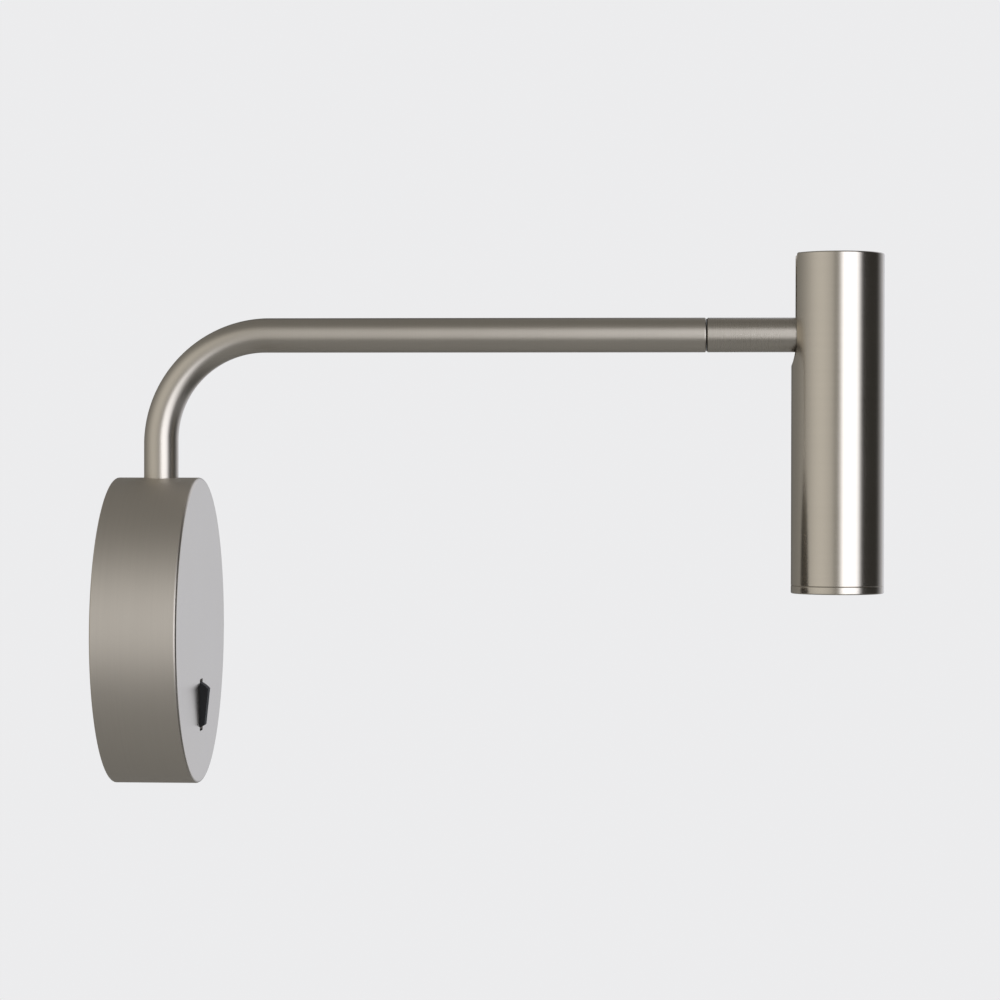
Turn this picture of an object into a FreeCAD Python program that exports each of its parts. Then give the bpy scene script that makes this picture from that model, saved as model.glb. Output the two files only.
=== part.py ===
import FreeCAD, Part
import math
import os
import Sketcher
from FreeCAD import Placement, Rotation, Vector

# A bedside wall reading lamp, in millimetres. +Z is up and the wall is the plane y = 0.
# The lamp stands out from the wall towards -Y. The origin is the centre of the wall plate's back.

doc = FreeCAD.newDocument("wall_reading_lamp")
sheet = doc.addObject("Spreadsheet::Sheet", "sizes")

DRIVING_SIZES = (
    # canopy: a shallow drum against the wall
    ("canopy_radius", 40.0, "outer radius"),
    ("canopy_depth", 22.0, "from the wall to the flat front"),
    ("canopy_wall", 1.5, "thickness of rim and front"),
    # wall plate and what it carries
    ("plate_gap", 0.5, "between the steel plate and the canopy's rim"),
    ("plate_thick", 1.5, "steel plate and its lugs"),
    ("lug_width", 12.0, "each of the three lugs"),
    ("lug_inset", 0.4, "from the plate's edge to a lug's outer face"),
    ("lug_depth", 8.5, "how far the lugs reach out of the plate"),
    ("slot_inset", 8.0, "middle of a screw slot, from the plate's edge"),
    ("slot_radius", 2.25, "half the width of a screw slot"),
    ("slot_length", 8.0, "end to end"),
    ("cable_radius", 4.0, "bore of the grommet"),
    ("grommet_wall", 2.0, "rubber round the bore"),
    ("grommet_lip", 2.0, "lip beyond the plate's hole"),
    ("grommet_lip_thick", 1.5, "height of the lip"),
    ("canopy_screw_radius", 2.0, "set screw that holds the canopy"),
    ("canopy_screw_out", 6.0, "its distance from the wall"),
    ("canopy_screw_length", 5.2, "end to end"),
    ("canopy_screw_recess", 0.5, "how deep its outer end lies in the rim"),
    ("hex_key", 1.0, "half the width across flats of the hex sockets"),
    # arm foot: bush in the canopy's shelf
    ("tube_radius", 4.5, "outer radius of the arm tube"),
    ("tube_wall", 0.9, "wall of the arm tube"),
    ("foot_setback", 10.6, "foot axis, behind the canopy's front"),
    ("foot_reach", 11.0, "how far the tube reaches below the shelf"),
    ("shelf_drop", 10.5, "underside of the canopy's shelf, below the top of the rim"),
    ("shelf_thick", 3.0, "the shelf that the bush sits in"),
    ("shelf_half_width", 10.0, "half the width of the shelf block"),
    ("shelf_back", 7.4, "its back face, behind the foot axis"),
    ("pocket_half_width", 7.5, "half the width of the pocket over the shelf"),
    ("pocket_roof", 3.0, "metal over the pocket"),
    ("pocket_floor", 1.3, "metal left between pocket and front"),
    ("bush_wall", 1.45, "wall of the foot bush"),
    ("bush_flange", 7.0, "radius of its flange"),
    ("bush_flange_thick", 1.5, "thickness of its flange"),
    ("bush_skirt", 3.5, "how far the bush hangs below the shelf"),
    ("bush_window", 3.0, "height of the window for the stop pin"),
    ("collar_radius", 6.8, "collar that carries the arm on the bush"),
    ("collar_thick", 2.3, "height of the collar"),
    ("stop_pin_radius", 1.0, "pin that stops the swing"),
    ("stop_pin_end", 6.4, "its outer end, from the foot axis"),
    ("stop_pin_start", 3.0, "its inner end, from the foot axis"),
    ("spring_washer_thick", 1.0, "washer under the bush"),
    ("spring_washer_radius", 6.4, "its outer radius"),
    ("nut_height", 4.3, "foot nut"),
    ("nut_flats", 6.5, "half the foot nut's width across flats"),
    ("swing_limit", 85.0, "degrees each way"),
    # arm
    ("arm_height", 77.2, "arm axis above the middle of the canopy"),
    ("bend_radius", 28.0, "centre line of the bend"),
    ("seam_out", 154.0, "outer end of the arm tube, out from the wall"),
    # swivel at the end of the arm
    ("seam_gap", 0.3, "thickness of the seam washer"),
    ("seam_inset", 0.25, "how far the seam washer lies below the tube's surface"),
    ("spindle_radius", 2.4, "spindle of the stub"),
    ("roll_bush_length", 10.0, "brass bush in the tube's end"),
    ("dog_length", 1.6, "stop dog on that bush"),
    ("dog_half_width", 0.5, "half the width of dog and tab"),
    ("dog_start", 2.95, "inner radius of the dog"),
    ("stop_washer_radius", 2.85, "stop washer, without its tab"),
    ("lead_bore", 1.5, "bore of the stub for the lead"),
    ("lead_width", 2.4, "flat two-core lead to the LED"),
    ("lead_thick", 1.2, "flat two-core lead to the LED"),
    ("driver_lead_up", 5.0, "where the lead leaves the driver, above the middle"),
    ("driver_lead_bend", 5.0, "bend of that lead"),
    # head
    ("head_out", 188.0, "head axis, out from the wall"),
    ("head_radius", 12.0, "outer radius of the head"),
    ("head_rise", 21.0, "top of the head above the arm axis"),
    ("head_length", 87.9, "whole head, end to end"),
    ("head_wall", 1.1, "wall of the head tube"),
    ("head_top", 1.5, "thickness of the top"),
    ("head_slot", 5.25, "half the width of the slot at the back"),
    ("slot_drop", 2.85, "centre of the slot's round end, below the arm axis"),
    ("knuckle_half_width", 3.3, "half the thickness of the stub's knuckle"),
    ("ear_rise", 8.3, "top of the core's ears, above the pivot"),
    ("core_shoulder", 0.5, "shoulder in the head tube above the ears"),
    ("core_bottom", 44.6, "lower face of the core, below the pivot"),
    ("pivot_shoulder", 2.0, "radius of the tilt screws' shoulder"),
    ("pivot_thread", 1.25, "radius of their thread"),
    ("pivot_head", 3.2, "radius of their head"),
    ("pivot_head_inner", 8.3, "seat of the head, from the middle"),
    ("pivot_head_thick", 1.8, "thickness of the head"),
    ("tilt_washer_radius", 3.0, "friction washers beside the knuckle"),
    ("lead_back", 8.0, "lead hole of the core, in front of the pivot"),
    ("pad_thick", 0.4, "thermal pad"),
    ("pad_flats", 6.5, "half the width across flats of the six-sided thermal pad"),
    ("board_thick", 1.5, "LED board"),
    ("board_flats", 9.0, "half the width across flats of the six-sided LED board"),
    ("chip_thick", 0.8, "LED chip"),
    ("chip_half", 3.5, "half the side of the square LED chip"),
    ("reflector_wall", 0.8, "white tube between LED board and lens"),
    ("lens_radius", 10.8, "lens"),
    ("lens_thick", 1.8, "lens"),
    ("bezel_height", 2.0, "the ring that shows below the tube"),
    ("bezel_opening", 9.2, "radius of the opening"),
    ("bezel_spigot", 2.0, "how far the ring reaches up into the tube, to the lens"),
    # switch
    ("rocker_inset", 20.4, "middle of the rocker, above the bottom of the rim"),
    ("rocker_pivot", 2.8, "pivot behind the canopy's front face"),
    ("rocker_end", 6.5, "radius of the rocker's ends about its pivot"),
    ("rocker_front", 4.43, "rocker's flat front, from the pivot"),
    ("rocker_back", 2.2, "rocker's back, from the pivot"),
    ("rocker_half_width", 2.0, "half the width of the rocker"),
    ("rocker_tilt", 6.0, "degrees out of the middle position at rest"),
    ("rocker_stem", 5.2, "tip of its stem, from the pivot"),
    ("stem_half", 1.0, "half the height of the stem"),
    ("stem_half_width", 1.6, "half the width of the stem"),
    ("rocker_room", 1.2, "free space behind the rocker and its stem"),
    ("stem_room", 2.5, "half the height of the room for the stem"),
    ("tab_floor", 0.4, "plastic between the terminals and that room"),
    ("cutout_half_height", 6.8, "half the height of the opening for the rocker"),
    ("cutout_margin", 0.3, "beside the rocker"),
    ("cutout_round", 0.4, "corner radius of the opening"),
    ("switch_half_width", 5.0, "switch body"),
    ("switch_half_height", 9.5, "switch body"),
    ("switch_depth", 9.5, "switch body"),
    ("switch_ear", 14.4, "half the height over the switch's ears"),
    ("switch_ear_thick", 1.5, "thickness of the ears"),
    ("switch_post_place", 12.0, "posts from the middle of the switch"),
    ("switch_post_half", 2.3, "half the side of the posts for the switch"),
    ("switch_post_height", 5.0, "posts for the switch"),
    ("tab_inset", 3.5, "outer terminals, from the ends of the switch body"),
    ("tab_half_width", 1.5, "terminals"),
    ("tab_thick", 0.8, "terminals"),
    ("tab_length", 4.7, "how far the terminals stand out of the body"),
    ("switch_pin_radius", 0.8, "pivot pin"),
    ("switch_pin_half", 4.2, "half the length of the pin"),
    # driver
    ("driver_side_gap", 6.3, "between the driver and the rim"),
    ("driver_half_width", 11.5, "driver case"),
    ("driver_half_height", 13.0, "driver case"),
    ("driver_depth", 13.5, "driver case, from the canopy's front"),
    ("driver_wall", 1.2, "driver case and lid"),
    ("driver_ear", 20.0, "half the height over the ears"),
    ("driver_ear_half_width", 3.5, "ears"),
    ("driver_ear_thick", 2.0, "ears"),
    ("driver_post_place", 16.5, "posts from the middle of the driver"),
    ("driver_post_half", 2.6, "half the side of the posts for the driver"),
    ("driver_post_height", 5.5, "posts for the driver"),
    ("driver_board_lift", 2.0, "board's back face, from the open end of the case"),
    ("driver_board_thick", 1.2, "board"),
    ("transformer_x", -2.3, "its middle, from the middle of the driver"),
    ("transformer_up", 5.9, "its middle, from the middle of the driver"),
    ("transformer_half_width", 5.8, "transformer"),
    ("transformer_half_height", 4.5, "transformer"),
    ("transformer_tall", 7.3, "transformer, from the board"),
    ("capacitor_x", -4.6, "its middle, from the middle of the driver"),
    ("capacitor_up", -6.5, "its middle, from the middle of the driver"),
    ("capacitor_radius", 2.9, "capacitor"),
    ("capacitor_tall", 8.2, "capacitor, from the board"),
    ("fuse_x", 5.7, "its middle, from the middle of the driver"),
    ("fuse_up", -7.8, "its middle, from the middle of the driver"),
    ("fuse_half_width", 2.3, "fuse"),
    ("fuse_half_height", 2.6, "fuse"),
    ("fuse_tall", 6.4, "fuse, from the board"),
    # terminal block
    ("block_side_gap", 15.3, "between the terminal block and the rim"),
    ("block_up", -16.0, "middle of the terminal block"),
    ("block_half_width", 7.0, "terminal block"),
    ("block_depth", 11.5, "terminal block"),
    ("pole_pitch", 6.5, "one pole to the next"),
    ("pole_gap", 1.0, "groove between two poles"),
    ("pole_height", 5.75, "wire entries, out from the block's foot"),
    ("entry_half", 1.9, "half the side of the wire entries"),
    ("entry_depth", 9.0, "wire entries"),
    ("groove_depth", 2.0, "groove between two poles"),
    # running clearances
    ("run", 0.05, "a shaft in its hole, or two faces that slide"),
    ("free", 0.3, "beside parts that only pass"),
)


class Size:
    """A length or an angle: the number it has now, and the sheet expression that drives it."""

    def __init__(self, number, words=None):
        self.number = float(number)
        self.words = words or repr(float(number))

    def __add__(self, other):
        other = as_size(other)
        return Size(self.number + other.number, f"({self.words} + {other.words})")

    def __sub__(self, other):
        other = as_size(other)
        return Size(self.number - other.number, f"({self.words} - {other.words})")

    def __mul__(self, other):
        other = as_size(other)
        return Size(self.number * other.number, f"({self.words} * {other.words})")

    def __truediv__(self, other):
        other = as_size(other)
        return Size(self.number / other.number, f"({self.words} / {other.words})")

    def __neg__(self):
        return Size(-self.number, f"(0 - {self.words})")

    def __radd__(self, other):
        return as_size(other) + self

    def __rsub__(self, other):
        return as_size(other) - self

    def __rmul__(self, other):
        return as_size(other) * self


def as_size(value):
    return value if isinstance(value, Size) else Size(value)


def sine(angle):
    return Size(math.sin(math.radians(angle.number)), f"sin({angle.words})")


def cosine(angle):
    return Size(math.cos(math.radians(angle.number)), f"cos({angle.words})")


class Sizes:
    """The sheet's sizes by name, written to the sheet as they are read in."""

    def __init__(self, rows):
        for row, (name, number, note) in enumerate(rows, 1):
            sheet.set(f"A{row}", note)
            sheet.set(f"B{row}", str(number))
            sheet.setAlias(f"B{row}", name)
            setattr(self, name, Size(number, f"sizes.{name}"))


d = Sizes(DRIVING_SIZES)
doc.recompute()

ZERO = as_size(0)
SIXTH_TURN = as_size(60)
UPRIGHT = Rotation()
OUT_OF_WALL = Rotation(Vector(1, 0, 0), 90)     # local x, y, z become across, up and out
ORIGIN_POINT = (-1, 1)
START, END, CENTRE = 1, 2, 3

pieces = []


# Helpers for bodies, sketches and features ------------------------------------------------------

def body(name, x=ZERO, y=ZERO, z=ZERO, turn=UPRIGHT):
    """An empty body for one piece, placed by the sheet."""
    piece = doc.addObject("PartDesign::Body", name)
    piece.Label = name
    piece.Placement = Placement(Vector(x.number, y.number, z.number), turn)
    for axis, place in (("x", x), ("y", y), ("z", z)):
        piece.setExpression(f"Placement.Base.{axis}", place.words)
    pieces.append(piece)
    return piece


def sketch(piece, plane="XY_Plane", offset=ZERO):
    """A sketch on one of the piece's own origin planes, moved along the plane's normal."""
    flat = piece.newObject("Sketcher::SketchObject", f"{piece.Name}_sketch")
    for feature in piece.Origin.OriginFeatures:
        if feature.Role == plane:
            flat.AttachmentSupport = (feature, [""])
    flat.MapMode = "FlatFace"
    flat.setExpression("AttachmentOffset.Base.z", as_size(offset).words)
    return flat


def pin_point(flat, geometry, point, x, y):
    """Holds one point of a sketch at x, y."""
    for kind, place in (("DistanceX", x), ("DistanceY", y)):
        rule = Sketcher.Constraint(kind, *ORIGIN_POINT, geometry, point, place.number)
        flat.setExpression(f"Constraints[{flat.addConstraint(rule)}]", place.words)


def outline(flat, corners):
    """A closed outline of straight lines through the corners."""
    corners = [(as_size(x), as_size(y)) for x, y in corners]
    first = flat.GeometryCount
    count = len(corners)
    places = [Vector(x.number, y.number, 0) for x, y in corners]
    for i in range(count):
        flat.addGeometry(Part.LineSegment(places[i], places[(i + 1) % count]), False)
    for i in range(count):
        follower = first + (i + 1) % count
        flat.addConstraint(Sketcher.Constraint("Coincident", first + i, END, follower, START))
    for i, (x, y) in enumerate(corners):
        pin_point(flat, first + i, START, x, y)
    return flat


def rectangle(flat, x0, x1, y0, y1):
    return outline(flat, ((x0, y0), (x1, y0), (x1, y1), (x0, y1)))


def circle(flat, x, y, radius):
    x, y, radius = as_size(x), as_size(y), as_size(radius)
    ring = Part.Circle(Vector(x.number, y.number, 0), Vector(0, 0, 1), radius.number)
    index = flat.addGeometry(ring, False)
    pin_point(flat, index, CENTRE, x, y)
    rule = flat.addConstraint(Sketcher.Constraint("Radius", index, radius.number))
    flat.setExpression(f"Constraints[{rule}]", radius.words)
    return flat


def hexagon(flat, flats):
    """A hexagon about the origin, flats being half its width across flats."""
    corner = as_size(flats) / cosine(SIXTH_TURN / 2)
    points = []
    for step in range(6):
        angle = SIXTH_TURN * step
        points.append((corner * cosine(angle), corner * sine(angle)))
    return outline(flat, points)


def turned(name, corners, x=ZERO, y=ZERO, z=ZERO, turn=UPRIGHT):
    """A piece turned about its own z axis from a half section of (radius, height) corners."""
    piece = body(name, x, y, z, turn)
    add_turned(piece, corners)
    return piece


def add_turned(piece, corners):
    half = outline(sketch(piece, "XZ_Plane"), corners)
    solid = piece.newObject("PartDesign::Revolution", f"{piece.Name}_turned")
    solid.Profile = half
    solid.ReferenceAxis = (half, ["V_Axis"])
    solid.Angle = 360
    return solid


def pad(piece, flat, length, symmetric=False):
    """Adds the sketch's outline, drawn out along its normal or to both sides."""
    solid = piece.newObject("PartDesign::Pad", f"{piece.Name}_pad")
    solid.Profile = flat
    solid.setExpression("Length", as_size(length).words)
    if symmetric:
        solid.SideType = "Symmetric"
    return solid


def pocket(piece, flat, length, along=True, symmetric=False):
    """Cuts the sketch's outline along its normal, against it, or to both sides."""
    cut = piece.newObject("PartDesign::Pocket", f"{piece.Name}_pocket")
    cut.Profile = flat
    cut.setExpression("Length", as_size(length).words)
    cut.Reversed = along
    if symmetric:
        cut.SideType = "Symmetric"
    return cut


def repeat_round(piece, feature, count):
    """Repeats a feature round the piece's own z axis."""
    pattern = piece.newObject("PartDesign::PolarPattern", f"{piece.Name}_round")
    pattern.Originals = [feature]
    pattern.Axis = (feature.Profile[0], ["N_Axis"])
    pattern.Angle = 360
    pattern.Occurrences = count
    piece.Tip = pattern
    return pattern


def ease_edges(piece, feature, radius, chosen):
    """Fillets the edges of a feature whose middle point passes the test."""
    doc.recompute()
    names = []
    for number, edge in enumerate(feature.Shape.Edges, 1):
        middle = edge.valueAt((edge.FirstParameter + edge.LastParameter) / 2)
        if chosen(edge, middle):
            names.append(f"Edge{number}")
    eased = piece.newObject("PartDesign::Fillet", f"{piece.Name}_fillet")
    eased.Base = (feature, names)
    eased.setExpression("Radius", as_size(radius).words)
    return eased


def near(a, b):
    return abs(a - b) < 1e-3


def primitive(kind, name, turn=UPRIGHT, x=ZERO, y=ZERO, z=ZERO, **lengths):
    """A Part primitive whose sizes and place follow the sheet."""
    solid = doc.addObject(f"Part::{kind}", name)
    solid.Placement = Placement(Vector(as_size(x).number, as_size(y).number, as_size(z).number), turn)
    for axis, place in (("x", x), ("y", y), ("z", z)):
        solid.setExpression(f"Placement.Base.{axis}", as_size(place).words)
    for prop, length in lengths.items():
        solid.setExpression(prop, as_size(length).words)
    return solid


def boolean(kind, name, first, second):
    joined = doc.addObject(f"Part::{kind}", name)
    joined.Base = first
    joined.Tool = second
    return joined


def finished(piece, name):
    """Marks a Part object as a piece of its own."""
    piece.Label = name
    pieces.append(piece)
    return piece


# Places that several pieces share ---------------------------------------------------------------

canopy_bore = d.canopy_radius - d.canopy_wall
face_inner = d.canopy_depth - d.canopy_wall
plate_radius = canopy_bore - d.plate_gap
slot_place = plate_radius - d.slot_inset
foot_out = d.canopy_depth - d.foot_setback
shelf_start = foot_out - d.shelf_back
shelf_height = d.canopy_radius - d.shelf_drop
shelf_top = shelf_height + d.shelf_thick
foot_bottom = shelf_height - d.foot_reach
pocket_top = d.canopy_radius - d.pocket_roof
bush_bore = d.tube_radius + d.run
bush_barrel = bush_bore + d.bush_wall
bush_bottom = shelf_height - d.bush_skirt
bush_top = shelf_top + d.bush_flange_thick
stop_pin_height = bush_bottom + d.bush_window / 2
nut_top = bush_bottom - d.run - d.spring_washer_thick
tube_bore = d.tube_radius - d.tube_wall
grommet_seat = d.cable_radius + d.grommet_wall
pivot_out = d.canopy_depth - d.rocker_pivot
rocker_down = d.canopy_radius - d.rocker_inset
switch_back = face_inner - d.switch_depth
switch_seat = face_inner - d.switch_post_height
switch_tab_place = d.switch_half_height - d.tab_inset
driver_x = d.driver_half_width + d.driver_side_gap - canopy_bore
driver_back = face_inner - d.driver_depth
board_out = driver_back + d.driver_board_lift
board_front = board_out + d.driver_board_thick
block_x = canopy_bore - d.block_side_gap - d.block_half_width
driver_seat = face_inner - d.driver_post_height
bore_out = d.plate_thick + d.pole_height
block_front = d.plate_thick + d.block_depth
roll_bush_start = d.seam_out - d.roll_bush_length
lead_joint = roll_bush_start - d.dog_length - d.free
stub_start = d.seam_out + d.seam_gap
head_bore = d.head_radius - d.head_wall
head_bottom = d.head_rise - d.head_length
head_tube_bottom = head_bottom + d.bezel_height
core_floor = -(d.slot_drop + d.head_slot)
pad_bottom = -d.core_bottom - d.pad_thick
board_bottom = pad_bottom - d.board_thick
lens_bottom = head_tube_bottom + d.bezel_spigot
lens_top = lens_bottom + d.lens_thick
pole_places = tuple(d.pole_pitch * step for step in (-1, 0, 1))


# Base: canopy, wall plate and what they carry ---------------------------------------------------

def make_canopy():
    """A drum open to the wall, with a shelf block for the arm's bush and four posts."""
    canopy = body("canopy", turn=OUT_OF_WALL)
    half_block = d.shelf_half_width
    block = rectangle(sketch(canopy, offset=shelf_start),
                      -half_block, half_block, shelf_height, d.canopy_radius)
    pad(canopy, block, face_inner + d.canopy_wall / 2 - shelf_start)
    inside_rim = d.canopy_wall / 2
    trim = outline(sketch(canopy, "XZ_Plane"), (
        (d.canopy_radius - inside_rim, 0),
        (2 * d.canopy_radius, 0),
        (2 * d.canopy_radius, d.canopy_depth),
        (d.canopy_radius - inside_rim, d.canopy_depth),
    ))
    groove = canopy.newObject("PartDesign::Groove", "canopy_trim")
    groove.Profile = trim
    groove.ReferenceAxis = (trim, ["V_Axis"])
    groove.Angle = 360
    add_turned(canopy, (
        (canopy_bore, 0),
        (d.canopy_radius, 0),
        (d.canopy_radius, d.canopy_depth),
        (0, d.canopy_depth),
        (0, face_inner),
        (canopy_bore, face_inner),
    ))
    over_shelf = rectangle(sketch(canopy, offset=0), -d.pocket_half_width, d.pocket_half_width,
                           shelf_top, pocket_top)
    pocket(canopy, over_shelf, face_inner - d.pocket_floor)
    roof = sketch(canopy, "XZ_Plane", -pocket_top + d.free)
    pocket(canopy, circle(roof, 0, foot_out, d.tube_radius + 2 * d.run), d.canopy_radius, False)
    shelf = sketch(canopy, "XZ_Plane", -shelf_height)
    pocket(canopy, circle(shelf, 0, foot_out, bush_barrel), d.shelf_thick, False)
    rim = sketch(canopy, "XZ_Plane", d.canopy_radius - 2 * d.canopy_wall)
    pocket(canopy, circle(rim, 0, d.canopy_screw_out, d.canopy_screw_radius), d.canopy_radius)
    posts = (
        (driver_x, d.driver_post_place, d.driver_post_half, driver_seat),
        (driver_x, -d.driver_post_place, d.driver_post_half, driver_seat),
        (ZERO, d.switch_post_place - rocker_down, d.switch_post_half, switch_seat),
        (ZERO, -d.switch_post_place - rocker_down, d.switch_post_half, switch_seat),
    )
    for x, up, half, seat in posts:
        foot = rectangle(sketch(canopy, offset=seat), x - half, x + half, up - half, up + half)
        pad(canopy, foot, face_inner - seat)
    half_width = d.rocker_half_width + d.cutout_margin
    opening = rectangle(sketch(canopy, offset=face_inner), -half_width, half_width,
                        -rocker_down - d.cutout_half_height, -rocker_down + d.cutout_half_height)
    cut = pocket(canopy, opening, d.canopy_wall)

    def corner_of_opening(edge, middle):
        upright = near(edge.Length, d.canopy_wall.number)
        return upright and near(abs(middle.x), half_width.number)

    ease_edges(canopy, cut, d.cutout_round, corner_of_opening)


def make_wall_plate():
    """A steel disc with three bent lugs, two slots for wall screws and a hole for the cable."""
    plate = body("wall_plate", turn=OUT_OF_WALL)
    pad(plate, circle(sketch(plate), 0, 0, plate_radius), d.plate_thick)
    lug_outer = plate_radius - d.lug_inset
    lug = pad(plate, rectangle(sketch(plate), -d.lug_width / 2, d.lug_width / 2,
                               -lug_outer, d.plate_thick - lug_outer), d.lug_depth)
    repeat_round(plate, lug, 3)
    centres = d.slot_length / 2 - d.slot_radius
    middles = sketch(plate)
    ends = sketch(plate)
    for side in (-1, 1):
        place = slot_place * side
        rectangle(middles, place - centres, place + centres, -d.slot_radius, d.slot_radius)
        circle(ends, place - centres, 0, d.slot_radius)
        circle(ends, place + centres, 0, d.slot_radius)
    pocket(plate, middles, d.plate_thick)
    pocket(plate, ends, d.plate_thick)
    pocket(plate, circle(sketch(plate), 0, 0, grommet_seat), d.plate_thick)
    lug_face = sketch(plate, "XZ_Plane", lug_outer - 2 * d.plate_thick)
    pocket(plate, circle(lug_face, 0, d.canopy_screw_out, d.canopy_screw_radius), plate_radius)


def make_plate_fittings():
    """The plate's cable grommet and the set screw that holds the canopy on a lug."""
    lip = grommet_seat + d.grommet_lip
    front = d.plate_thick + d.grommet_lip_thick
    turned("cable_grommet", (
        (d.cable_radius, 0),
        (grommet_seat, 0),
        (grommet_seat, d.plate_thick),
        (lip, d.plate_thick),
        (lip, front),
        (d.cable_radius, front),
    ), turn=OUT_OF_WALL)

    screw = turned("canopy_screw", (
        (0, 0),
        (d.canopy_screw_radius, 0),
        (d.canopy_screw_radius, d.canopy_screw_length),
        (0, d.canopy_screw_length),
    ), y=-d.canopy_screw_out, z=d.canopy_screw_recess - d.canopy_radius)
    pocket(screw, hexagon(sketch(screw), d.hex_key), 2 * d.hex_key)


def make_terminal_block():
    """A three-pole push-in block for the house wires, with grooves between the poles."""
    block = body("terminal_block", x=block_x, z=d.block_up, turn=OUT_OF_WALL)
    half_height = d.pole_pitch * 1.5
    pad(block, rectangle(sketch(block, offset=d.plate_thick), -d.block_half_width,
                         d.block_half_width, -half_height, half_height), d.block_depth)
    grooves = sketch(block, offset=block_front - d.groove_depth)
    for side in (-1, 1):
        middle = d.pole_pitch / 2 * side
        rectangle(grooves, -d.block_half_width, d.block_half_width,
                  middle - d.pole_gap / 2, middle + d.pole_gap / 2)
    pocket(block, grooves, d.groove_depth)
    entries = sketch(block, "YZ_Plane", -d.block_half_width)
    for pole in pole_places:
        rectangle(entries, pole - d.entry_half, pole + d.entry_half,
                  bore_out - d.entry_half, bore_out + d.entry_half)
    pocket(block, entries, d.entry_depth)


def make_driver():
    """The LED driver on its two posts: case, lid, board and the parts on the board."""
    place = {"x": driver_x, "turn": OUT_OF_WALL}
    half_width = d.driver_half_width
    half_height = d.driver_half_height
    wall = d.driver_wall

    case = body("driver_case", **place)
    pad(case, rectangle(sketch(case, offset=driver_back), -half_width, half_width,
                        -half_height, half_height), d.driver_depth)
    ear_start = driver_seat - d.driver_ear_thick
    for side in (-1, 1):
        ear = rectangle(sketch(case, offset=ear_start), -d.driver_ear_half_width,
                        d.driver_ear_half_width, (half_height - wall) * side, d.driver_ear * side)
        pad(case, ear, d.driver_ear_thick)
    pocket(case, rectangle(sketch(case, offset=driver_back), wall - half_width, half_width - wall,
                           wall - half_height, half_height - wall), d.driver_depth - wall)

    lid = body("driver_lid", **place)
    inset = wall + d.run
    pad(lid, rectangle(sketch(lid, offset=driver_back - wall), -half_width, half_width,
                       -half_height, half_height), wall)
    lip = sketch(lid, offset=driver_back)
    rectangle(lip, inset - half_width, half_width - inset, inset - half_height, half_height - inset)
    rectangle(lip, inset + wall - half_width, half_width - inset - wall,
              inset + wall - half_height, half_height - inset - wall)
    pad(lid, lip, d.driver_board_lift)

    board = body("driver_board", **place)
    pad(board, rectangle(sketch(board, offset=board_out), inset - half_width,
                         half_width - inset, inset - half_height, half_height - inset),
        d.driver_board_thick)

    def on_board(name, x, up, half_across, half_up, tall):
        piece = body(name, **place)
        pad(piece, rectangle(sketch(piece, offset=board_front), x - half_across, x + half_across,
                             up - half_up, up + half_up), tall)

    on_board("transformer", d.transformer_x, d.transformer_up, d.transformer_half_width,
             d.transformer_half_height, d.transformer_tall)
    capacitor = body("capacitor", **place)
    pad(capacitor, circle(sketch(capacitor, offset=board_front), d.capacitor_x, d.capacitor_up,
                          d.capacitor_radius), d.capacitor_tall)
    on_board("fuse", d.fuse_x, d.fuse_up, d.fuse_half_width, d.fuse_half_height, d.fuse_tall)


def make_switch():
    """The switch body behind the canopy's face, its pivot pin and its terminals."""
    place = {"z": -rocker_down, "turn": OUT_OF_WALL}
    half_cavity = d.rocker_half_width + d.cutout_margin
    housing = body("switch_body", **place)
    pad(housing, rectangle(sketch(housing, offset=switch_back), -d.switch_half_width,
                           d.switch_half_width, -d.switch_half_height, d.switch_half_height),
        d.switch_depth)
    ear_start = switch_seat - d.switch_ear_thick
    ear = rectangle(sketch(housing, offset=ear_start), -d.switch_post_half,
                    d.switch_post_half, -d.switch_ear, d.switch_ear)
    pad(housing, ear, d.switch_ear_thick)
    wing_floor = pivot_out - d.rocker_back - d.rocker_room
    stem_floor = pivot_out - d.rocker_stem - d.rocker_room
    wings = rectangle(sketch(housing, offset=wing_floor), -half_cavity, half_cavity,
                      -d.cutout_half_height - d.cutout_margin, d.cutout_half_height + d.cutout_margin)
    pocket(housing, wings, d.switch_depth)
    stem = rectangle(sketch(housing, offset=stem_floor), -half_cavity, half_cavity,
                     -d.stem_room, d.stem_room)
    pocket(housing, stem, d.switch_depth)
    pocket(housing, circle(sketch(housing, "YZ_Plane"), 0, pivot_out, d.switch_pin_radius),
           2 * d.switch_pin_half, symmetric=True)
    pin = body("switch_pin", **place)
    pad(pin, circle(sketch(pin, "YZ_Plane"), 0, pivot_out, d.switch_pin_radius),
        2 * d.switch_pin_half, symmetric=True)

    tab_start = switch_back - d.tab_length
    tabs = body("switch_terminals", **place)
    blades = sketch(tabs, offset=tab_start)
    slots = sketch(housing, offset=switch_back)
    for side in (-1, 0, 1):
        up = switch_tab_place * side
        for flat in (blades, slots):
            rectangle(flat, -d.tab_half_width, d.tab_half_width,
                      up - d.tab_thick / 2, up + d.tab_thick / 2)
    root = stem_floor - switch_back - d.tab_floor
    pad(tabs, blades, switch_back + root - tab_start)
    pocket(housing, slots, root)


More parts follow.
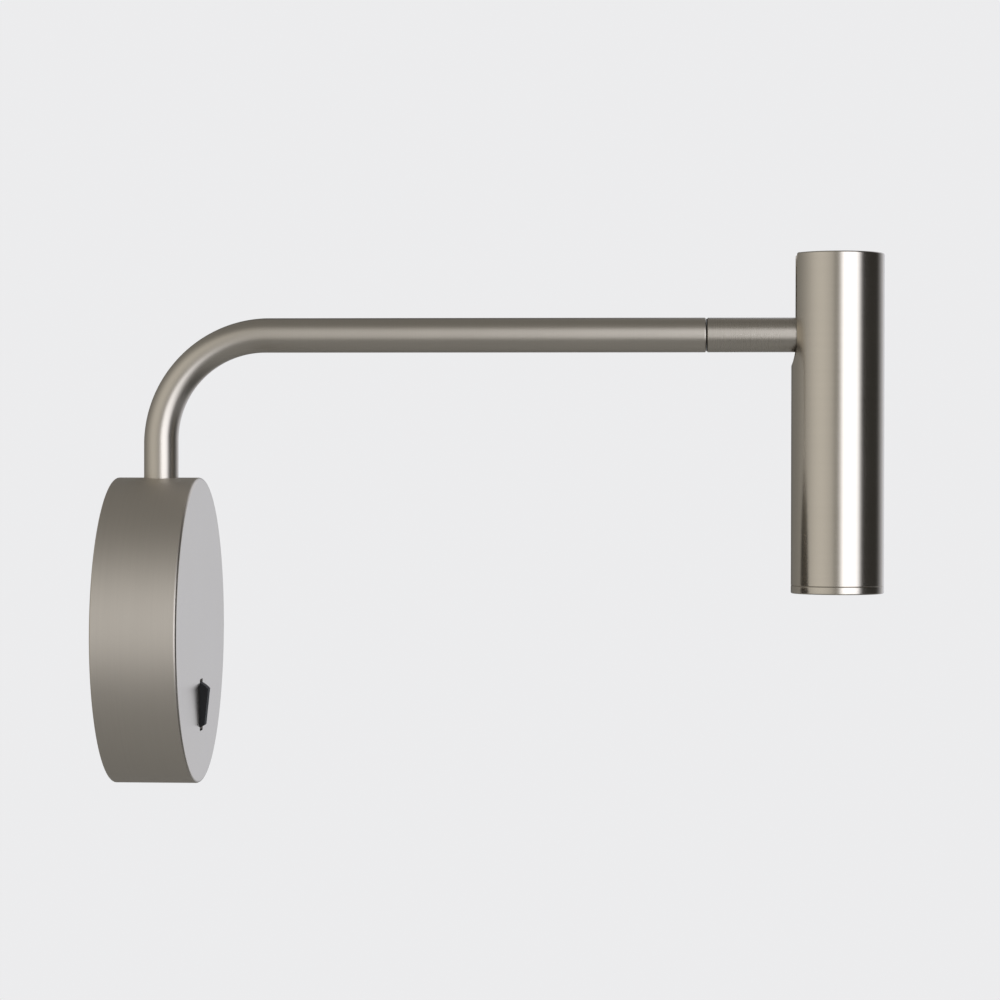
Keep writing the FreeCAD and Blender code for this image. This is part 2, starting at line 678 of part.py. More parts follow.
def make_rocker():
    """The rocker: ends curved about its pivot, a flat front, and a stem that works the contacts."""
    rocker = body("rocker", y=-pivot_out, z=-rocker_down,
                  turn=Rotation(Vector(1, 0, 0), d.rocker_tilt.number))
    width = 2 * d.rocker_half_width
    pad(rocker, circle(sketch(rocker, "YZ_Plane"), 0, 0, d.rocker_end), width, symmetric=True)
    ends = 2 * d.rocker_end
    waste = sketch(rocker, "YZ_Plane")
    rectangle(waste, -ends, -d.rocker_front, -ends, ends)
    rectangle(waste, d.rocker_back, ends, -ends, ends)
    pocket(rocker, waste, width, symmetric=True)
    stem = rectangle(sketch(rocker, "YZ_Plane"), 0, d.rocker_stem, -d.stem_half, d.stem_half)
    pad(rocker, stem, 2 * d.stem_half_width, symmetric=True)
    pocket(rocker, circle(sketch(rocker, "YZ_Plane"), 0, 0, d.switch_pin_radius + d.run),
           width, symmetric=True)


def make_foot_bush():
    """The brass bush in the shelf: the arm turns in it, and its window lets the stop pin swing."""
    bush = turned("foot_bush", (
        (bush_bore, bush_bottom),
        (bush_barrel, bush_bottom),
        (bush_barrel, shelf_top),
        (d.bush_flange, shelf_top),
        (d.bush_flange, bush_top),
        (bush_bore, bush_top),
    ), y=-foot_out)
    far = 2 * d.bush_flange
    beside = d.stop_pin_radius + 2 * d.run
    sin_limit = sine(d.swing_limit)
    cos_limit = cosine(d.swing_limit)
    inner = (beside * cos_limit, beside * sin_limit)
    outer = (far * sin_limit + beside * cos_limit, beside * sin_limit - far * cos_limit)
    window = outline(sketch(bush, offset=bush_bottom), (
        inner,
        outer,
        (outer[0], -far),
        (-outer[0], -far),
        (-outer[0], outer[1]),
        (-inner[0], inner[1]),
    ))
    pocket(bush, window, d.bush_window)


# Arm: bent tube and what is fixed to it ---------------------------------------------------------

def add_pipe(piece, section, plane, start, corner, end, bend):
    """Sweeps a section along two runs that meet at a right angle, turning left in an arc."""
    spine = sketch(piece, plane)
    ahead = Vector((corner[0] - start[0]).number, (corner[1] - start[1]).number, 0).normalize()
    aside = Vector(-ahead.y, ahead.x, 0)
    bend_in = tuple(place - bend * step for place, step in zip(corner, ahead))
    bend_out = tuple(place + bend * step for place, step in zip(corner, aside))
    middle = Vector((bend_in[0] + bend * aside.x).number, (bend_in[1] + bend * aside.y).number, 0)

    def vector(point):
        return Vector(point[0].number, point[1].number, 0)

    ring = Part.Circle(middle, Vector(0, 0, 1), bend.number)
    heading = math.atan2(-aside.y, -aside.x)
    first = spine.addGeometry(Part.LineSegment(vector(start), vector(bend_in)), False)
    arc = spine.addGeometry(Part.ArcOfCircle(ring, heading, heading + math.pi / 2), False)
    last = spine.addGeometry(Part.LineSegment(vector(bend_out), vector(end)), False)
    for before, after in ((first, arc), (arc, last)):
        spine.addConstraint(Sketcher.Constraint("Coincident", before, END, after, START))
    pin_point(spine, first, START, *start)
    pin_point(spine, first, END, *bend_in)
    pin_point(spine, last, START, *bend_out)
    pin_point(spine, last, END, *end)
    rule = spine.addConstraint(Sketcher.Constraint("Radius", arc, bend.number))
    spine.setExpression(f"Constraints[{rule}]", bend.words)
    pipe = piece.newObject("PartDesign::AdditivePipe", f"{piece.Name}_pipe")
    pipe.Profile = section
    pipe.Spine = (spine, ["Edge1", "Edge2", "Edge3"])
    doc.recompute()


def add_arm_pipe(piece, section, end):
    """Sweeps a section up from the foot, round the bend and out to a distance from the wall."""
    reach = end - foot_out
    add_pipe(piece, section, "YZ_Plane", (ZERO, foot_bottom), (ZERO, d.arm_height),
             (-reach, d.arm_height), d.bend_radius)


def make_arm_tube():
    """The bent tube, with a hole for the stop pin."""
    tube = body("arm_tube", y=-foot_out)
    section = circle(sketch(tube, offset=foot_bottom), 0, 0, d.tube_radius)
    add_arm_pipe(tube, circle(section, 0, 0, tube_bore), d.seam_out)
    hole = circle(sketch(tube, "XZ_Plane"), 0, stop_pin_height, d.stop_pin_radius)
    pocket(tube, hole, d.tube_radius)


def make_arm_foot():
    """What holds the tube in the bush: collar above, spring washer and nut below, and a stop pin."""
    collar_start = bush_top + d.run
    turned("foot_collar", (
        (d.tube_radius, collar_start),
        (d.collar_radius, collar_start),
        (d.collar_radius, collar_start + d.collar_thick),
        (d.tube_radius, collar_start + d.collar_thick),
    ), y=-foot_out)
    turned("stop_pin", (
        (0, d.stop_pin_start),
        (d.stop_pin_radius, d.stop_pin_start),
        (d.stop_pin_radius, d.stop_pin_end),
        (0, d.stop_pin_end),
    ), y=-foot_out, z=stop_pin_height, turn=OUT_OF_WALL)
    turned("spring_washer", (
        (d.tube_radius, nut_top),
        (d.spring_washer_radius, nut_top),
        (d.spring_washer_radius, nut_top + d.spring_washer_thick),
        (d.tube_radius, nut_top + d.spring_washer_thick),
    ), y=-foot_out)
    nut = body("foot_nut", y=-foot_out)
    flats = hexagon(sketch(nut, offset=nut_top - d.nut_height), d.nut_flats)
    pad(nut, circle(flats, 0, 0, d.tube_radius), d.nut_height)


def make_roll_bush():
    """The brass bush in the tube's outer end, with the dog that stops the head's roll."""
    bush = turned("roll_bush", (
        (d.spindle_radius + d.run, roll_bush_start),
        (tube_bore, roll_bush_start),
        (tube_bore, d.seam_out),
        (d.spindle_radius + d.run, d.seam_out),
    ), z=d.arm_height, turn=OUT_OF_WALL)
    dog = rectangle(sketch(bush, offset=roll_bush_start - d.dog_length), -d.dog_half_width,
                    d.dog_half_width, d.dog_start, tube_bore - 2 * d.run)
    pad(bush, dog, d.dog_length)


# Swivel: the stub that rolls in the arm and carries the tilting head ----------------------------

def make_swivel_stub():
    """A turned rod with a spindle behind, a flat knuckle with a round nose ahead, bored through."""
    knuckle_start = d.head_out - d.tube_radius - d.free
    across = Rotation(Vector(0, 1, 0), 90)

    def rod(name, radius, start, end):
        return primitive("Cylinder", name, OUT_OF_WALL, y=-start, z=d.arm_height,
                         Radius=radius, Height=end - start)

    shaft = rod("stub_shaft", d.tube_radius, stub_start, knuckle_start)
    spindle = rod("stub_spindle", d.spindle_radius, lead_joint + d.run, stub_start)
    nose = rod("stub_nose", d.tube_radius, knuckle_start, d.head_out + d.tube_radius)
    eye = primitive("Cylinder", "stub_eye", across, x=-d.knuckle_half_width, y=-d.head_out,
                    z=d.arm_height, Radius=d.tube_radius, Height=2 * d.knuckle_half_width)
    cheek = primitive("Box", "stub_cheek", x=-d.knuckle_half_width, y=-d.head_out,
                      z=d.arm_height - d.tube_radius, Length=2 * d.knuckle_half_width,
                      Width=d.head_out - knuckle_start, Height=2 * d.tube_radius)
    knuckle = boolean("Common", "stub_knuckle", nose, boolean("Fuse", "stub_blade", eye, cheek))
    solid = boolean("Fuse", "stub_solid", boolean("Fuse", "stub_rod", shaft, spindle), knuckle)
    bore = rod("stub_bore", d.lead_bore, lead_joint, d.head_out + 2 * d.tube_radius)
    taps = primitive("Cylinder", "stub_taps", across, x=-d.tube_radius, y=-d.head_out,
                     z=d.arm_height, Radius=d.pivot_thread, Height=2 * d.tube_radius)
    holes = boolean("Fuse", "stub_holes", bore, taps)
    finished(boolean("Cut", "swivel_stub", solid, holes), "swivel_stub")


def make_swivel_fittings():
    """Washers of the roll and the tilt, and the two shoulder screws that the head tilts on."""
    place = {"z": d.arm_height, "turn": OUT_OF_WALL}
    turned("seam_washer", (
        (d.spindle_radius, d.seam_out + d.run),
        (d.tube_radius - d.seam_inset, d.seam_out + d.run),
        (d.tube_radius - d.seam_inset, stub_start),
        (d.spindle_radius, stub_start),
    ), **place)
    washer_start = lead_joint + 2 * d.run
    washer_thick = roll_bush_start - d.run - washer_start
    washer = body("stop_washer", **place)
    pad(washer, circle(sketch(washer, offset=washer_start), 0, 0, d.stop_washer_radius), washer_thick)
    tab = rectangle(sketch(washer, offset=washer_start), -d.dog_half_width, d.dog_half_width,
                    d.free - tube_bore, -d.spindle_radius)
    pad(washer, tab, washer_thick)
    hole = circle(sketch(washer, offset=washer_start), 0, 0, d.spindle_radius)
    pocket(washer, hole, washer_thick)

    place = {"y": -d.head_out, "z": d.arm_height, "turn": Rotation(Vector(0, 1, 0), 90)}
    screws = body("tilt_screws", **place)
    washers = body("tilt_washers", **place)
    for side in (-1, 1):
        add_turned(screws, (
            (0, (d.lead_bore + d.free) * side),
            (d.pivot_thread, (d.lead_bore + d.free) * side),
            (d.pivot_thread, d.knuckle_half_width * side),
            (d.pivot_shoulder, d.knuckle_half_width * side),
            (d.pivot_shoulder, d.pivot_head_inner * side),
            (d.pivot_head, d.pivot_head_inner * side),
            (d.pivot_head, (d.pivot_head_inner + d.pivot_head_thick) * side),
            (0, (d.pivot_head_inner + d.pivot_head_thick) * side),
        ))
        add_turned(washers, (
            (d.pivot_shoulder + d.run, d.knuckle_half_width * side),
            (d.tilt_washer_radius, d.knuckle_half_width * side),
            (d.tilt_washer_radius, (d.head_slot - d.run) * side),
            (d.pivot_shoulder + d.run, (d.head_slot - d.run) * side),
        ))


# Head: slotted tube, core and light source ------------------------------------------------------

def make_head_tube():
    """A turned cup, open below, slotted from the top down past the stub on the wall side."""
    tube = turned("head_tube", (
        (0, d.head_rise - d.head_top),
        (head_bore - d.core_shoulder, d.head_rise - d.head_top),
        (head_bore - d.core_shoulder, d.ear_rise),
        (head_bore, d.ear_rise),
        (head_bore, head_tube_bottom),
        (d.head_radius, head_tube_bottom),
        (d.head_radius, d.head_rise),
        (0, d.head_rise),
    ), y=-d.head_out, z=d.arm_height)
    slot = rectangle(sketch(tube, "XZ_Plane"), -d.head_slot, d.head_slot, -d.slot_drop, d.head_length)
    pocket(tube, slot, 2 * d.head_radius, False)
    pocket(tube, circle(sketch(tube, "XZ_Plane"), 0, -d.slot_drop, d.head_slot),
           2 * d.head_radius, False)
    pocket(tube, circle(sketch(tube, offset=d.ear_rise), 0, 0, d.head_slot), d.head_rise)


def make_head_core():
    """The aluminium core: a heat sink that ends in the two ears of the tilt pivot."""
    core = turned("head_core", (
        (0, -d.core_bottom),
        (head_bore, -d.core_bottom),
        (head_bore, d.ear_rise),
        (0, d.ear_rise),
    ), y=-d.head_out, z=d.arm_height)
    slot = rectangle(sketch(core, "XZ_Plane"), -d.head_slot, d.head_slot, core_floor, d.head_rise)
    pocket(core, slot, 3 * d.head_radius, symmetric=True)
    pocket(core, circle(sketch(core, "YZ_Plane"), 0, 0, d.pivot_shoulder + d.run),
           3 * d.head_radius, symmetric=True)
    for side in (-1, 1):
        recess = sketch(core, "YZ_Plane", d.pivot_head_inner * side)
        pocket(core, circle(recess, 0, 0, d.pivot_head + 2 * d.run), d.head_radius, side > 0)
    base = sketch(core, offset=-d.core_bottom)
    pocket(core, circle(base, 0, -d.lead_back, d.lead_bore), d.core_bottom)


def make_light_source():
    """Thermal pad, six-sided LED board and square chip under the core."""
    place = {"y": -d.head_out, "z": d.arm_height}
    cushion = body("thermal_pad", **place)
    pad(cushion, hexagon(sketch(cushion, offset=pad_bottom), d.pad_flats), d.pad_thick)
    board = body("led_board", **place)
    pad(board, hexagon(sketch(board, offset=board_bottom), d.board_flats), d.board_thick)
    chip = body("led_chip", **place)
    pad(chip, rectangle(sketch(chip, offset=board_bottom - d.chip_thick), -d.chip_half,
                        d.chip_half, -d.chip_half, d.chip_half), d.chip_thick)


def make_optics():
    """White reflector tube, lens and the bezel ring that screws in and clamps them."""
    place = {"y": -d.head_out, "z": d.arm_height}
    turned("reflector", (
        (d.board_flats - d.reflector_wall, lens_top),
        (d.board_flats, lens_top),
        (d.board_flats, board_bottom),
        (d.board_flats - d.reflector_wall, board_bottom),
    ), **place)
    turned("lens", (
        (0, lens_bottom),
        (d.lens_radius, lens_bottom),
        (d.lens_radius, lens_top),
        (0, lens_top),
    ), **place)
    turned("bezel_ring", (
        (d.bezel_opening, head_bottom),
        (d.head_radius, head_bottom),
        (d.head_radius, head_tube_bottom),
        (head_bore, head_tube_bottom),
        (head_bore, lens_bottom),
        (d.bezel_opening, lens_bottom),
    ), **place)


# Leads ------------------------------------------------------------------------------------------

def straight_lead(name, start, end, **place):
    """A straight length of the flat two-core lead, along its body's z axis."""
    piece = body(name, **place)
    flat = rectangle(sketch(piece, offset=start), -d.lead_width / 2, d.lead_width / 2,
                     -d.lead_thick / 2, d.lead_thick / 2)
    pad(piece, flat, end - start)


def make_leads():
    """The lead from driver to LED board, in the lengths that each moving part carries."""
    across = d.lead_width / 2
    half_thick = d.lead_thick / 2
    driver_side = driver_x + d.driver_half_width
    first = body("driver_lead", y=-foot_out)
    section = rectangle(sketch(first, "YZ_Plane", driver_side), -across, across,
                        d.driver_lead_up - half_thick, d.driver_lead_up + half_thick)
    add_pipe(first, section, "XZ_Plane", (driver_side, d.driver_lead_up),
             (ZERO, d.driver_lead_up), (ZERO, foot_bottom), d.driver_lead_bend)
    second = body("arm_lead", y=-foot_out)
    section = rectangle(sketch(second, offset=foot_bottom), -across, across,
                        -half_thick, half_thick)
    add_arm_pipe(second, section, lead_joint)
    straight_lead("stub_lead", lead_joint, d.head_out + d.tube_radius + d.free,
                  z=d.arm_height, turn=OUT_OF_WALL)
    straight_lead("head_lead", pad_bottom, core_floor + 2 * d.lead_bore,
                  y=-(d.head_out + d.lead_back), z=d.arm_height)


make_canopy()
make_wall_plate()
make_plate_fittings()
make_terminal_block()
make_driver()
make_switch()
make_rocker()
make_foot_bush()
make_arm_tube()
make_arm_foot()
make_roll_bush()
make_swivel_stub()
make_swivel_fittings()
make_head_tube()
make_head_core()
make_light_source()
make_optics()
make_leads()
doc.recompute()

for thing in doc.Objects:
    faults = {"Invalid", "Error"} & set(thing.State)
    if faults:
        raise RuntimeError(f"{thing.Name}: {faults}")

os.makedirs("parts", exist_ok=True)
for piece in pieces:
    shape = piece.Shape
    if shape.isNull() or not shape.isValid():
        raise RuntimeError(f"{piece.Label}: no valid shape")
    shape.exportStep(f"parts/{piece.Label}.step")
print(len(pieces), "pieces")
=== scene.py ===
# A bedside wall reading lamp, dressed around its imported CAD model.
# Metres in the row frame: +Z is up, the wall is y = 0 and the lamp stands out towards -Y.
import math

import bmesh
import bpy
from mathutils import Matrix, Vector


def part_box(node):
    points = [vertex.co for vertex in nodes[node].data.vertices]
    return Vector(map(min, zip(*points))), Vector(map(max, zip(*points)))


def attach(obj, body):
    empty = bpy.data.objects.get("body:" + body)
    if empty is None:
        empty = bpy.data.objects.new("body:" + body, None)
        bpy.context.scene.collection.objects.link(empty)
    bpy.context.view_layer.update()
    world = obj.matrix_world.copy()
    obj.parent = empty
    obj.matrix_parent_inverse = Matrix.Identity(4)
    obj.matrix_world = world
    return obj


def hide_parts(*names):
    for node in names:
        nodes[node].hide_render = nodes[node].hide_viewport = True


MM = 0.001
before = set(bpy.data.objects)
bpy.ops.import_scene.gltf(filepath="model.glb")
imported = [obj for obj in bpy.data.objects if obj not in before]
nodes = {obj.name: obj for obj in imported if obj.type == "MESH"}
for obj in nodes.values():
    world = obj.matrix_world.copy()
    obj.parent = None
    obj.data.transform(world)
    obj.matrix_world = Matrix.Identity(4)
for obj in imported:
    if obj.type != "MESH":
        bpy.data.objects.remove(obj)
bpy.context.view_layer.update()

# Sizes of the lamp in millimetres, as the CAD source has them or as they follow from its sizes ----

CANOPY_RADIUS = 40.0
CANOPY_DEPTH = 22.0
TUBE_RADIUS = 4.5
TUBE_WALL = 0.9
FOOT_OUT = 11.4
FOOT_BOTTOM = 18.5
ARM_HEIGHT = 77.2
BEND_RADIUS = 28.0
SEAM_OUT = 154.0
STUB_START = 154.3
HEAD_OUT = 188.0
HEAD_RADIUS = 12.0
HEAD_TOP = 98.2
HEAD_TUBE_BOTTOM = 12.3
HEAD_BOTTOM = 10.3
HEAD_BORE = 10.9
BEZEL_OPENING = 9.2
BEZEL_SPIGOT_TOP = 14.3
DRIVER_EAR_BACK = -13.0
DRIVER_SCREW_UP = 16.5
SWITCH_HEIGHT = -19.6
SWITCH_EAR_BACK = -14.0
SWITCH_SCREW_UP = 12.0
BOARD_BOTTOM = 30.7

# What this script adds in millimetres: rounded edges and the place of the board's screws. The
# flattening is the share by which the tube is squeezed in its bend.
CANOPY_EDGE = 0.8
CANOPY_WALL_EDGE = 0.4
TUBE_END_EDGE = 0.4
STUB_EDGE = 0.2
HEAD_EDGE = 0.45
BEZEL_EDGE = 0.3
ROCKER_EDGE = 0.25
SMALL_EDGE = 0.2
BOARD_SCREW_OUT = 6.2
BEND_FLATTENING = 0.06

ALONG_OUT = Matrix.Rotation(math.radians(90), 4, "X")
HEAD_AXIS = Matrix.Translation((0, -HEAD_OUT * MM, 0))


# Finishes ---------------------------------------------------------------------------------------

class Field:
    """A socket of a node tree. Arithmetic on it adds Math nodes."""

    def __init__(self, maker, socket):
        self.maker = maker
        self.socket = socket

    def math(self, operation, *values):
        return self.maker.add("ShaderNodeMath", {"operation": operation}, *values)

    def __add__(self, other):
        return self.math("ADD", self, other)

    __radd__ = __add__

    def __sub__(self, other):
        return self.math("SUBTRACT", self, other)

    def __rsub__(self, other):
        return self.math("SUBTRACT", other, self)

    def __mul__(self, other):
        return self.math("MULTIPLY", self, other)

    __rmul__ = __mul__

    def __neg__(self):
        return self.math("MULTIPLY", self, -1.0)

    def __abs__(self):
        return self.math("ABSOLUTE", self)

    def root(self):
        return self.math("SQRT", self)


class Maker:
    """Adds nodes to one tree, for materials and for the world."""

    def __init__(self, tree):
        self.tree = tree
        tree.nodes.clear()

    def put(self, socket, value):
        if isinstance(value, Field):
            self.tree.links.new(value.socket, socket)
        else:
            socket.default_value = value

    def add(self, kind, settings=None, *values, output=0, **named):
        """A node with its settings, then the values or links of its sockets, in order or by name."""
        node = self.tree.nodes.new(kind)
        for name, value in (settings or {}).items():
            setattr(node, name, value)
        usable = [socket for socket in node.inputs if socket.enabled]
        for socket, value in zip(usable, values):
            self.put(socket, value)
        for name, value in named.items():
            title = name.replace("_", " ")
            self.put(next(s for s in usable if s.name.lower() == title), value)
        self.last = node
        return Field(self, [s for s in node.outputs if s.enabled][output])

    def parts_of(self, vector):
        """The three parts of a vector."""
        self.add("ShaderNodeSeparateXYZ", None, vector)
        return [Field(self, socket) for socket in self.last.outputs]

    def blend(self, share, first, second):
        """A colour between two colours."""
        return self.add("ShaderNodeMix", {"data_type": "RGBA", "clamp_factor": True},
                        factor=share, a=first, b=second)

    def eased(self, value, low, high):
        """0 below low, 1 above high, and smooth between them."""
        return self.add("ShaderNodeMapRange", {"interpolation_type": "SMOOTHSTEP"},
                        value=value, from_min=low, from_max=high)

    def window(self, value, low, high, softness):
        """1 between low and high and 0 outside, with soft edges."""
        rise = self.eased(value, low - softness, low + softness)
        return rise * (1.0 - self.eased(value, high - softness, high + softness))

    def hump(self, value, middle, reach):
        """1 at the middle, falling smoothly to 0 at a distance of reach."""
        return 1.0 - self.eased(abs(value - middle), 0.0, reach)


class Finish(Maker):
    """One material around a Principled shader. Constants are set on the shader's own sockets."""

    def __init__(self, name, colour, roughness, **constants):
        self.material = bpy.data.materials.new(name)
        self.material.use_nodes = True
        self.material.diffuse_color = (*colour, 1.0)
        super().__init__(self.material.node_tree)
        self.shader = self.tree.nodes.new("ShaderNodeBsdfPrincipled")
        out = self.tree.nodes.new("ShaderNodeOutputMaterial")
        self.tree.links.new(self.shader.outputs[0], out.inputs[0])
        self.give(Base_Color=(*colour, 1.0), Roughness=roughness, **constants)

    def give(self, **sockets):
        for name, value in sockets.items():
            self.put(self.shader.inputs[name.replace("_", " ")], value)

    def place(self):
        """Object coordinates in millimetres."""
        spot = self.add("ShaderNodeTexCoord", None, output=3)
        return self.add("ShaderNodeVectorMath", {"operation": "SCALE"}, spot, scale=1 / MM)

    def vector(self, x, y, z):
        return self.add("ShaderNodeCombineXYZ", None, x, y, z)

    def noise(self, vector, scale, detail=2.0, roughness=0.5):
        return self.add("ShaderNodeTexNoise", None, vector=vector, scale=scale,
                        detail=detail, roughness=roughness)

    def relief(self, height, strength, depth):
        """Feeds the shader's Normal from a height in millimetres."""
        bump = self.add("ShaderNodeBump", None, strength=strength, distance=depth * MM,
                        height=height)
        self.give(Normal=bump)


# In every finish a pitch is in waves a millimetre, a gloss is how much the roughness varies, and
# a tone is the share of one noise in the colour.
MEAN = 0.5                      # of a noise
NICKEL = (0.640, 0.592, 0.520)
TUBE_ROUGHNESS = 0.32
FACE_FROM, FACE_TO = 0.7, 0.1      # where the finish of a face sets in, short of its place


def shades(colour, *shares):
    """The colour times each share, as RGBA."""
    return [tuple(tone * share for tone in colour) + (1.0,) for share in shares]


def brushed_nickel(name, origin, axis, pitch=5.0, groove=0.004, roughness=0.20,
                   face=None, painted_shade=1.0):
    """Satin nickel turned about an axis: fine lines round it, and soft cloudy changes of gloss.

    The flat end beyond a place along the axis, given as face=(place, roughness), is polished
    finer. A painted shade under 1 darkens the whole metal: a shaded copy of the same nickel,
    so that the piece's reflections come out dimmer.
    """
    wide_pitch, cloud_pitch, drift = 0.9, 0.045, 0.02
    line_gloss, cloud_gloss = 0.05, 0.06
    line_tone, wide_tone, cloud_tone = 0.60, 0.25, 0.15
    finish = Finish(name, NICKEL, roughness, Metallic=1.0)
    centred = finish.add("ShaderNodeVectorMath", {"operation": "SUBTRACT"}, finish.place(), origin)
    x, y, z = finish.parts_of(centred)
    along, one, other = {"Y": (y, x, z), "Z": (z, x, y)}[axis]
    radius = (one * one + other * other).root()
    wander = (one + other) * drift
    lines = finish.noise(finish.vector(along * pitch, radius * pitch, wander), 1.0, detail=3.0,
                         roughness=0.6)
    wide = finish.noise(finish.vector(along * wide_pitch, radius * wide_pitch, wander), 1.0)
    cloud = finish.noise(centred, cloud_pitch)
    middle = roughness
    if face:
        place, face_roughness = face
        on_face = finish.eased(abs(along), place - FACE_FROM, place - FACE_TO)
        middle = roughness + on_face * (face_roughness - roughness)
    finish.give(Roughness=middle + (lines - MEAN) * line_gloss + (cloud - MEAN) * cloud_gloss)
    tone = lines * line_tone + wide * wide_tone + cloud * cloud_tone
    # painted shade: the shade factor darkens this nickel below the head's, a shaded copy of the same
    # plating
    finish.give(Base_Color=finish.blend(tone, *shades(NICKEL, 0.90 * painted_shade, 1.05 * painted_shade)))
    finish.relief(lines + wide * 0.8, strength=1.0, depth=groove)
    return finish.material


def swept_nickel(name):
    """The same nickel on the bent tube. Fine lines go round it, wherever its axis leads."""
    line_pitch, wide_pitch, grain_pitch, cloud_pitch = 2.4, 0.7, 3.0, 0.05
    line_gloss, cloud_gloss = 0.05, 0.05
    line_tone, grain_tone, cloud_tone = 0.5, 0.2, 0.3
    finish = Finish(name, NICKEL, TUBE_ROUGHNESS, Metallic=1.0)
    spot = finish.place()
    along = finish.add("ShaderNodeAttribute", {"attribute_name": "along"}, output=2) * (1 / MM)
    lines = finish.noise(finish.vector(along * line_pitch, 0.0, 0.0), 1.0)
    wide = finish.noise(finish.vector(along * wide_pitch, 0.0, 0.0), 1.0)
    grain = finish.noise(spot, grain_pitch)
    cloud = finish.noise(spot, cloud_pitch)
    finish.give(Roughness=TUBE_ROUGHNESS + (lines - MEAN) * line_gloss
                + (cloud - MEAN) * cloud_gloss)
    tone = lines * line_tone + grain * grain_tone + cloud * cloud_tone
    # painted shade: the tube's nickel is darker than the head's (0.86 and 0.98 against 0.90 and
    # 1.05), a shaded copy of the same plating
    finish.give(Base_Color=finish.blend(tone, *shades(NICKEL, 0.86, 0.98)))
    finish.relief(lines + wide * 0.6 + grain * 0.15, strength=0.6, depth=0.003)
    return finish.material


def plain_metal(name, colour, roughness):
    """Milled or stamped metal of the inner parts."""
    grain_pitch, cloud_pitch = 3.0, 0.12
    grain_gloss, cloud_gloss = 0.12, 0.10
    finish = Finish(name, colour, roughness, Metallic=1.0)
    spot = finish.place()
    grain = finish.noise(spot, grain_pitch, detail=3.0, roughness=0.6)
    cloud = finish.noise(spot, cloud_pitch)
    finish.give(Roughness=roughness + (grain - MEAN) * grain_gloss + (cloud - MEAN) * cloud_gloss)
    tone = cloud * 0.6 + grain * 0.4
    finish.give(Base_Color=finish.blend(tone, *shades(colour, 0.82, 1.0)))
    finish.relief(grain, strength=0.4, depth=0.01)
    return finish.material


def moulded(name, colour, roughness, **constants):
    """Moulded plastic or rubber with a fine spark-eroded skin."""
    skin_pitch, cloud_pitch, skin_gloss = 4.0, 0.15, 0.10
    finish = Finish(name, colour, roughness, **constants)
    spot = finish.place()
    skin = finish.noise(spot, skin_pitch, roughness=0.6)
    cloud = finish.noise(spot, cloud_pitch)
    finish.give(Roughness=roughness + (skin - MEAN) * skin_gloss)
    finish.give(Base_Color=finish.blend(cloud, *shades(colour, 0.85, 1.0)))
    finish.relief(skin, strength=0.5, depth=0.01)
    return finish.material


# Meshes -----------------------------------------------------------------------------------------

EDGE_STEPS = 5          # flats in a rounded edge
ON_AXIS = 1e-6          # a radius in millimetres that counts as none
WELD = 2e-6             # metres between points that are one


def new_piece(name, mesh, material, body, slot_name, *replaced):
    """Puts a finished mesh into the scene as a piece of the lamp."""
    piece = bpy.data.objects.new(name, mesh)
    bpy.context.scene.collection.objects.link(piece)
    mesh.materials.clear()
    mesh.materials.append(material)
    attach(piece, body)
    if replaced:
        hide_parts(*replaced)
    return piece


def smooth_by_angle(mesh, degrees=28.0):
    """Smooth faces, sharp where two faces meet at more than an angle."""
    bm = bmesh.new()
    bm.from_mesh(mesh)
    for face in bm.faces:
        face.smooth = True
    for edge in bm.edges:
        edge.smooth = len(edge.link_faces) == 2 and edge.calc_face_angle(0) < math.radians(degrees)
    bm.to_mesh(mesh)
    bm.free()


def rounded_profile(corners):
    """Points of a half section. A corner is (radius, height) or (radius, height, edge rounding)."""
    points = []
    count = len(corners)
    for i, corner in enumerate(corners):
        here = Vector(corner[:2])
        rounding = corner[2] if len(corner) > 2 else 0.0
        if not rounding:
            points.append(here)
            continue
        before = (Vector(corners[i - 1][:2]) - here).normalized()
        after = (Vector(corners[(i + 1) % count][:2]) - here).normalized()
        half = before.angle(after) / 2
        setback = rounding / math.tan(half)
        middle = here + (before + after).normalized() * (rounding / math.sin(half))
        first = here + before * setback - middle
        turn = first.angle_signed(here + after * setback - middle)
        for step in range(EDGE_STEPS + 1):
            swing = Matrix.Rotation(-turn * step / EDGE_STEPS, 2)
            points.append(middle + swing @ first)
    return points


def lathe(corners, place, segments=192):
    """A closed turned solid about local z from a half section, placed by a matrix. Returns bmesh."""
    profile = rounded_profile(corners)
    bm = bmesh.new()
    rings = []
    for radius, height in profile:
        if radius < ON_AXIS:
            rings.append([bm.verts.new((0, 0, height * MM))])
            continue
        ring = []
        for step in range(segments):
            angle = 2 * math.pi * step / segments
            ring.append(bm.verts.new((radius * MM * math.cos(angle),
                                      radius * MM * math.sin(angle), height * MM)))
        rings.append(ring)
    for ring, after in zip(rings, rings[1:] + rings[:1]):
        if len(ring) == 1 and len(after) == 1:
            continue
        for i in range(segments):
            j = (i + 1) % segments
            loop = [ring[i % len(ring)], ring[j % len(ring)],
                    after[j % len(after)], after[i % len(after)]]
            unique = list(dict.fromkeys(loop))
            bm.faces.new(unique)
    bmesh.ops.recalc_face_normals(bm, faces=bm.faces)
    bm.transform(place)
    return bm


def turned_mesh(name, corners, place, **options):
    mesh = bpy.data.meshes.new(name)
    bm = lathe(corners, place, **options)
    bm.to_mesh(mesh)
    bm.free()
    smooth_by_angle(mesh)
    return mesh


def merged_copy(node, name):
    """A copy of a CAD node's mesh with its loose triangles joined up."""
    mesh = nodes[node].data.copy()
    mesh.name = name
    bm = bmesh.new()
    bm.from_mesh(mesh)
    bmesh.ops.remove_doubles(bm, verts=bm.verts, dist=WELD)
    bm.to_mesh(mesh)
    bm.free()
    if "custom_normal" in mesh.attributes:
        mesh.attributes.remove(mesh.attributes["custom_normal"])
    return mesh


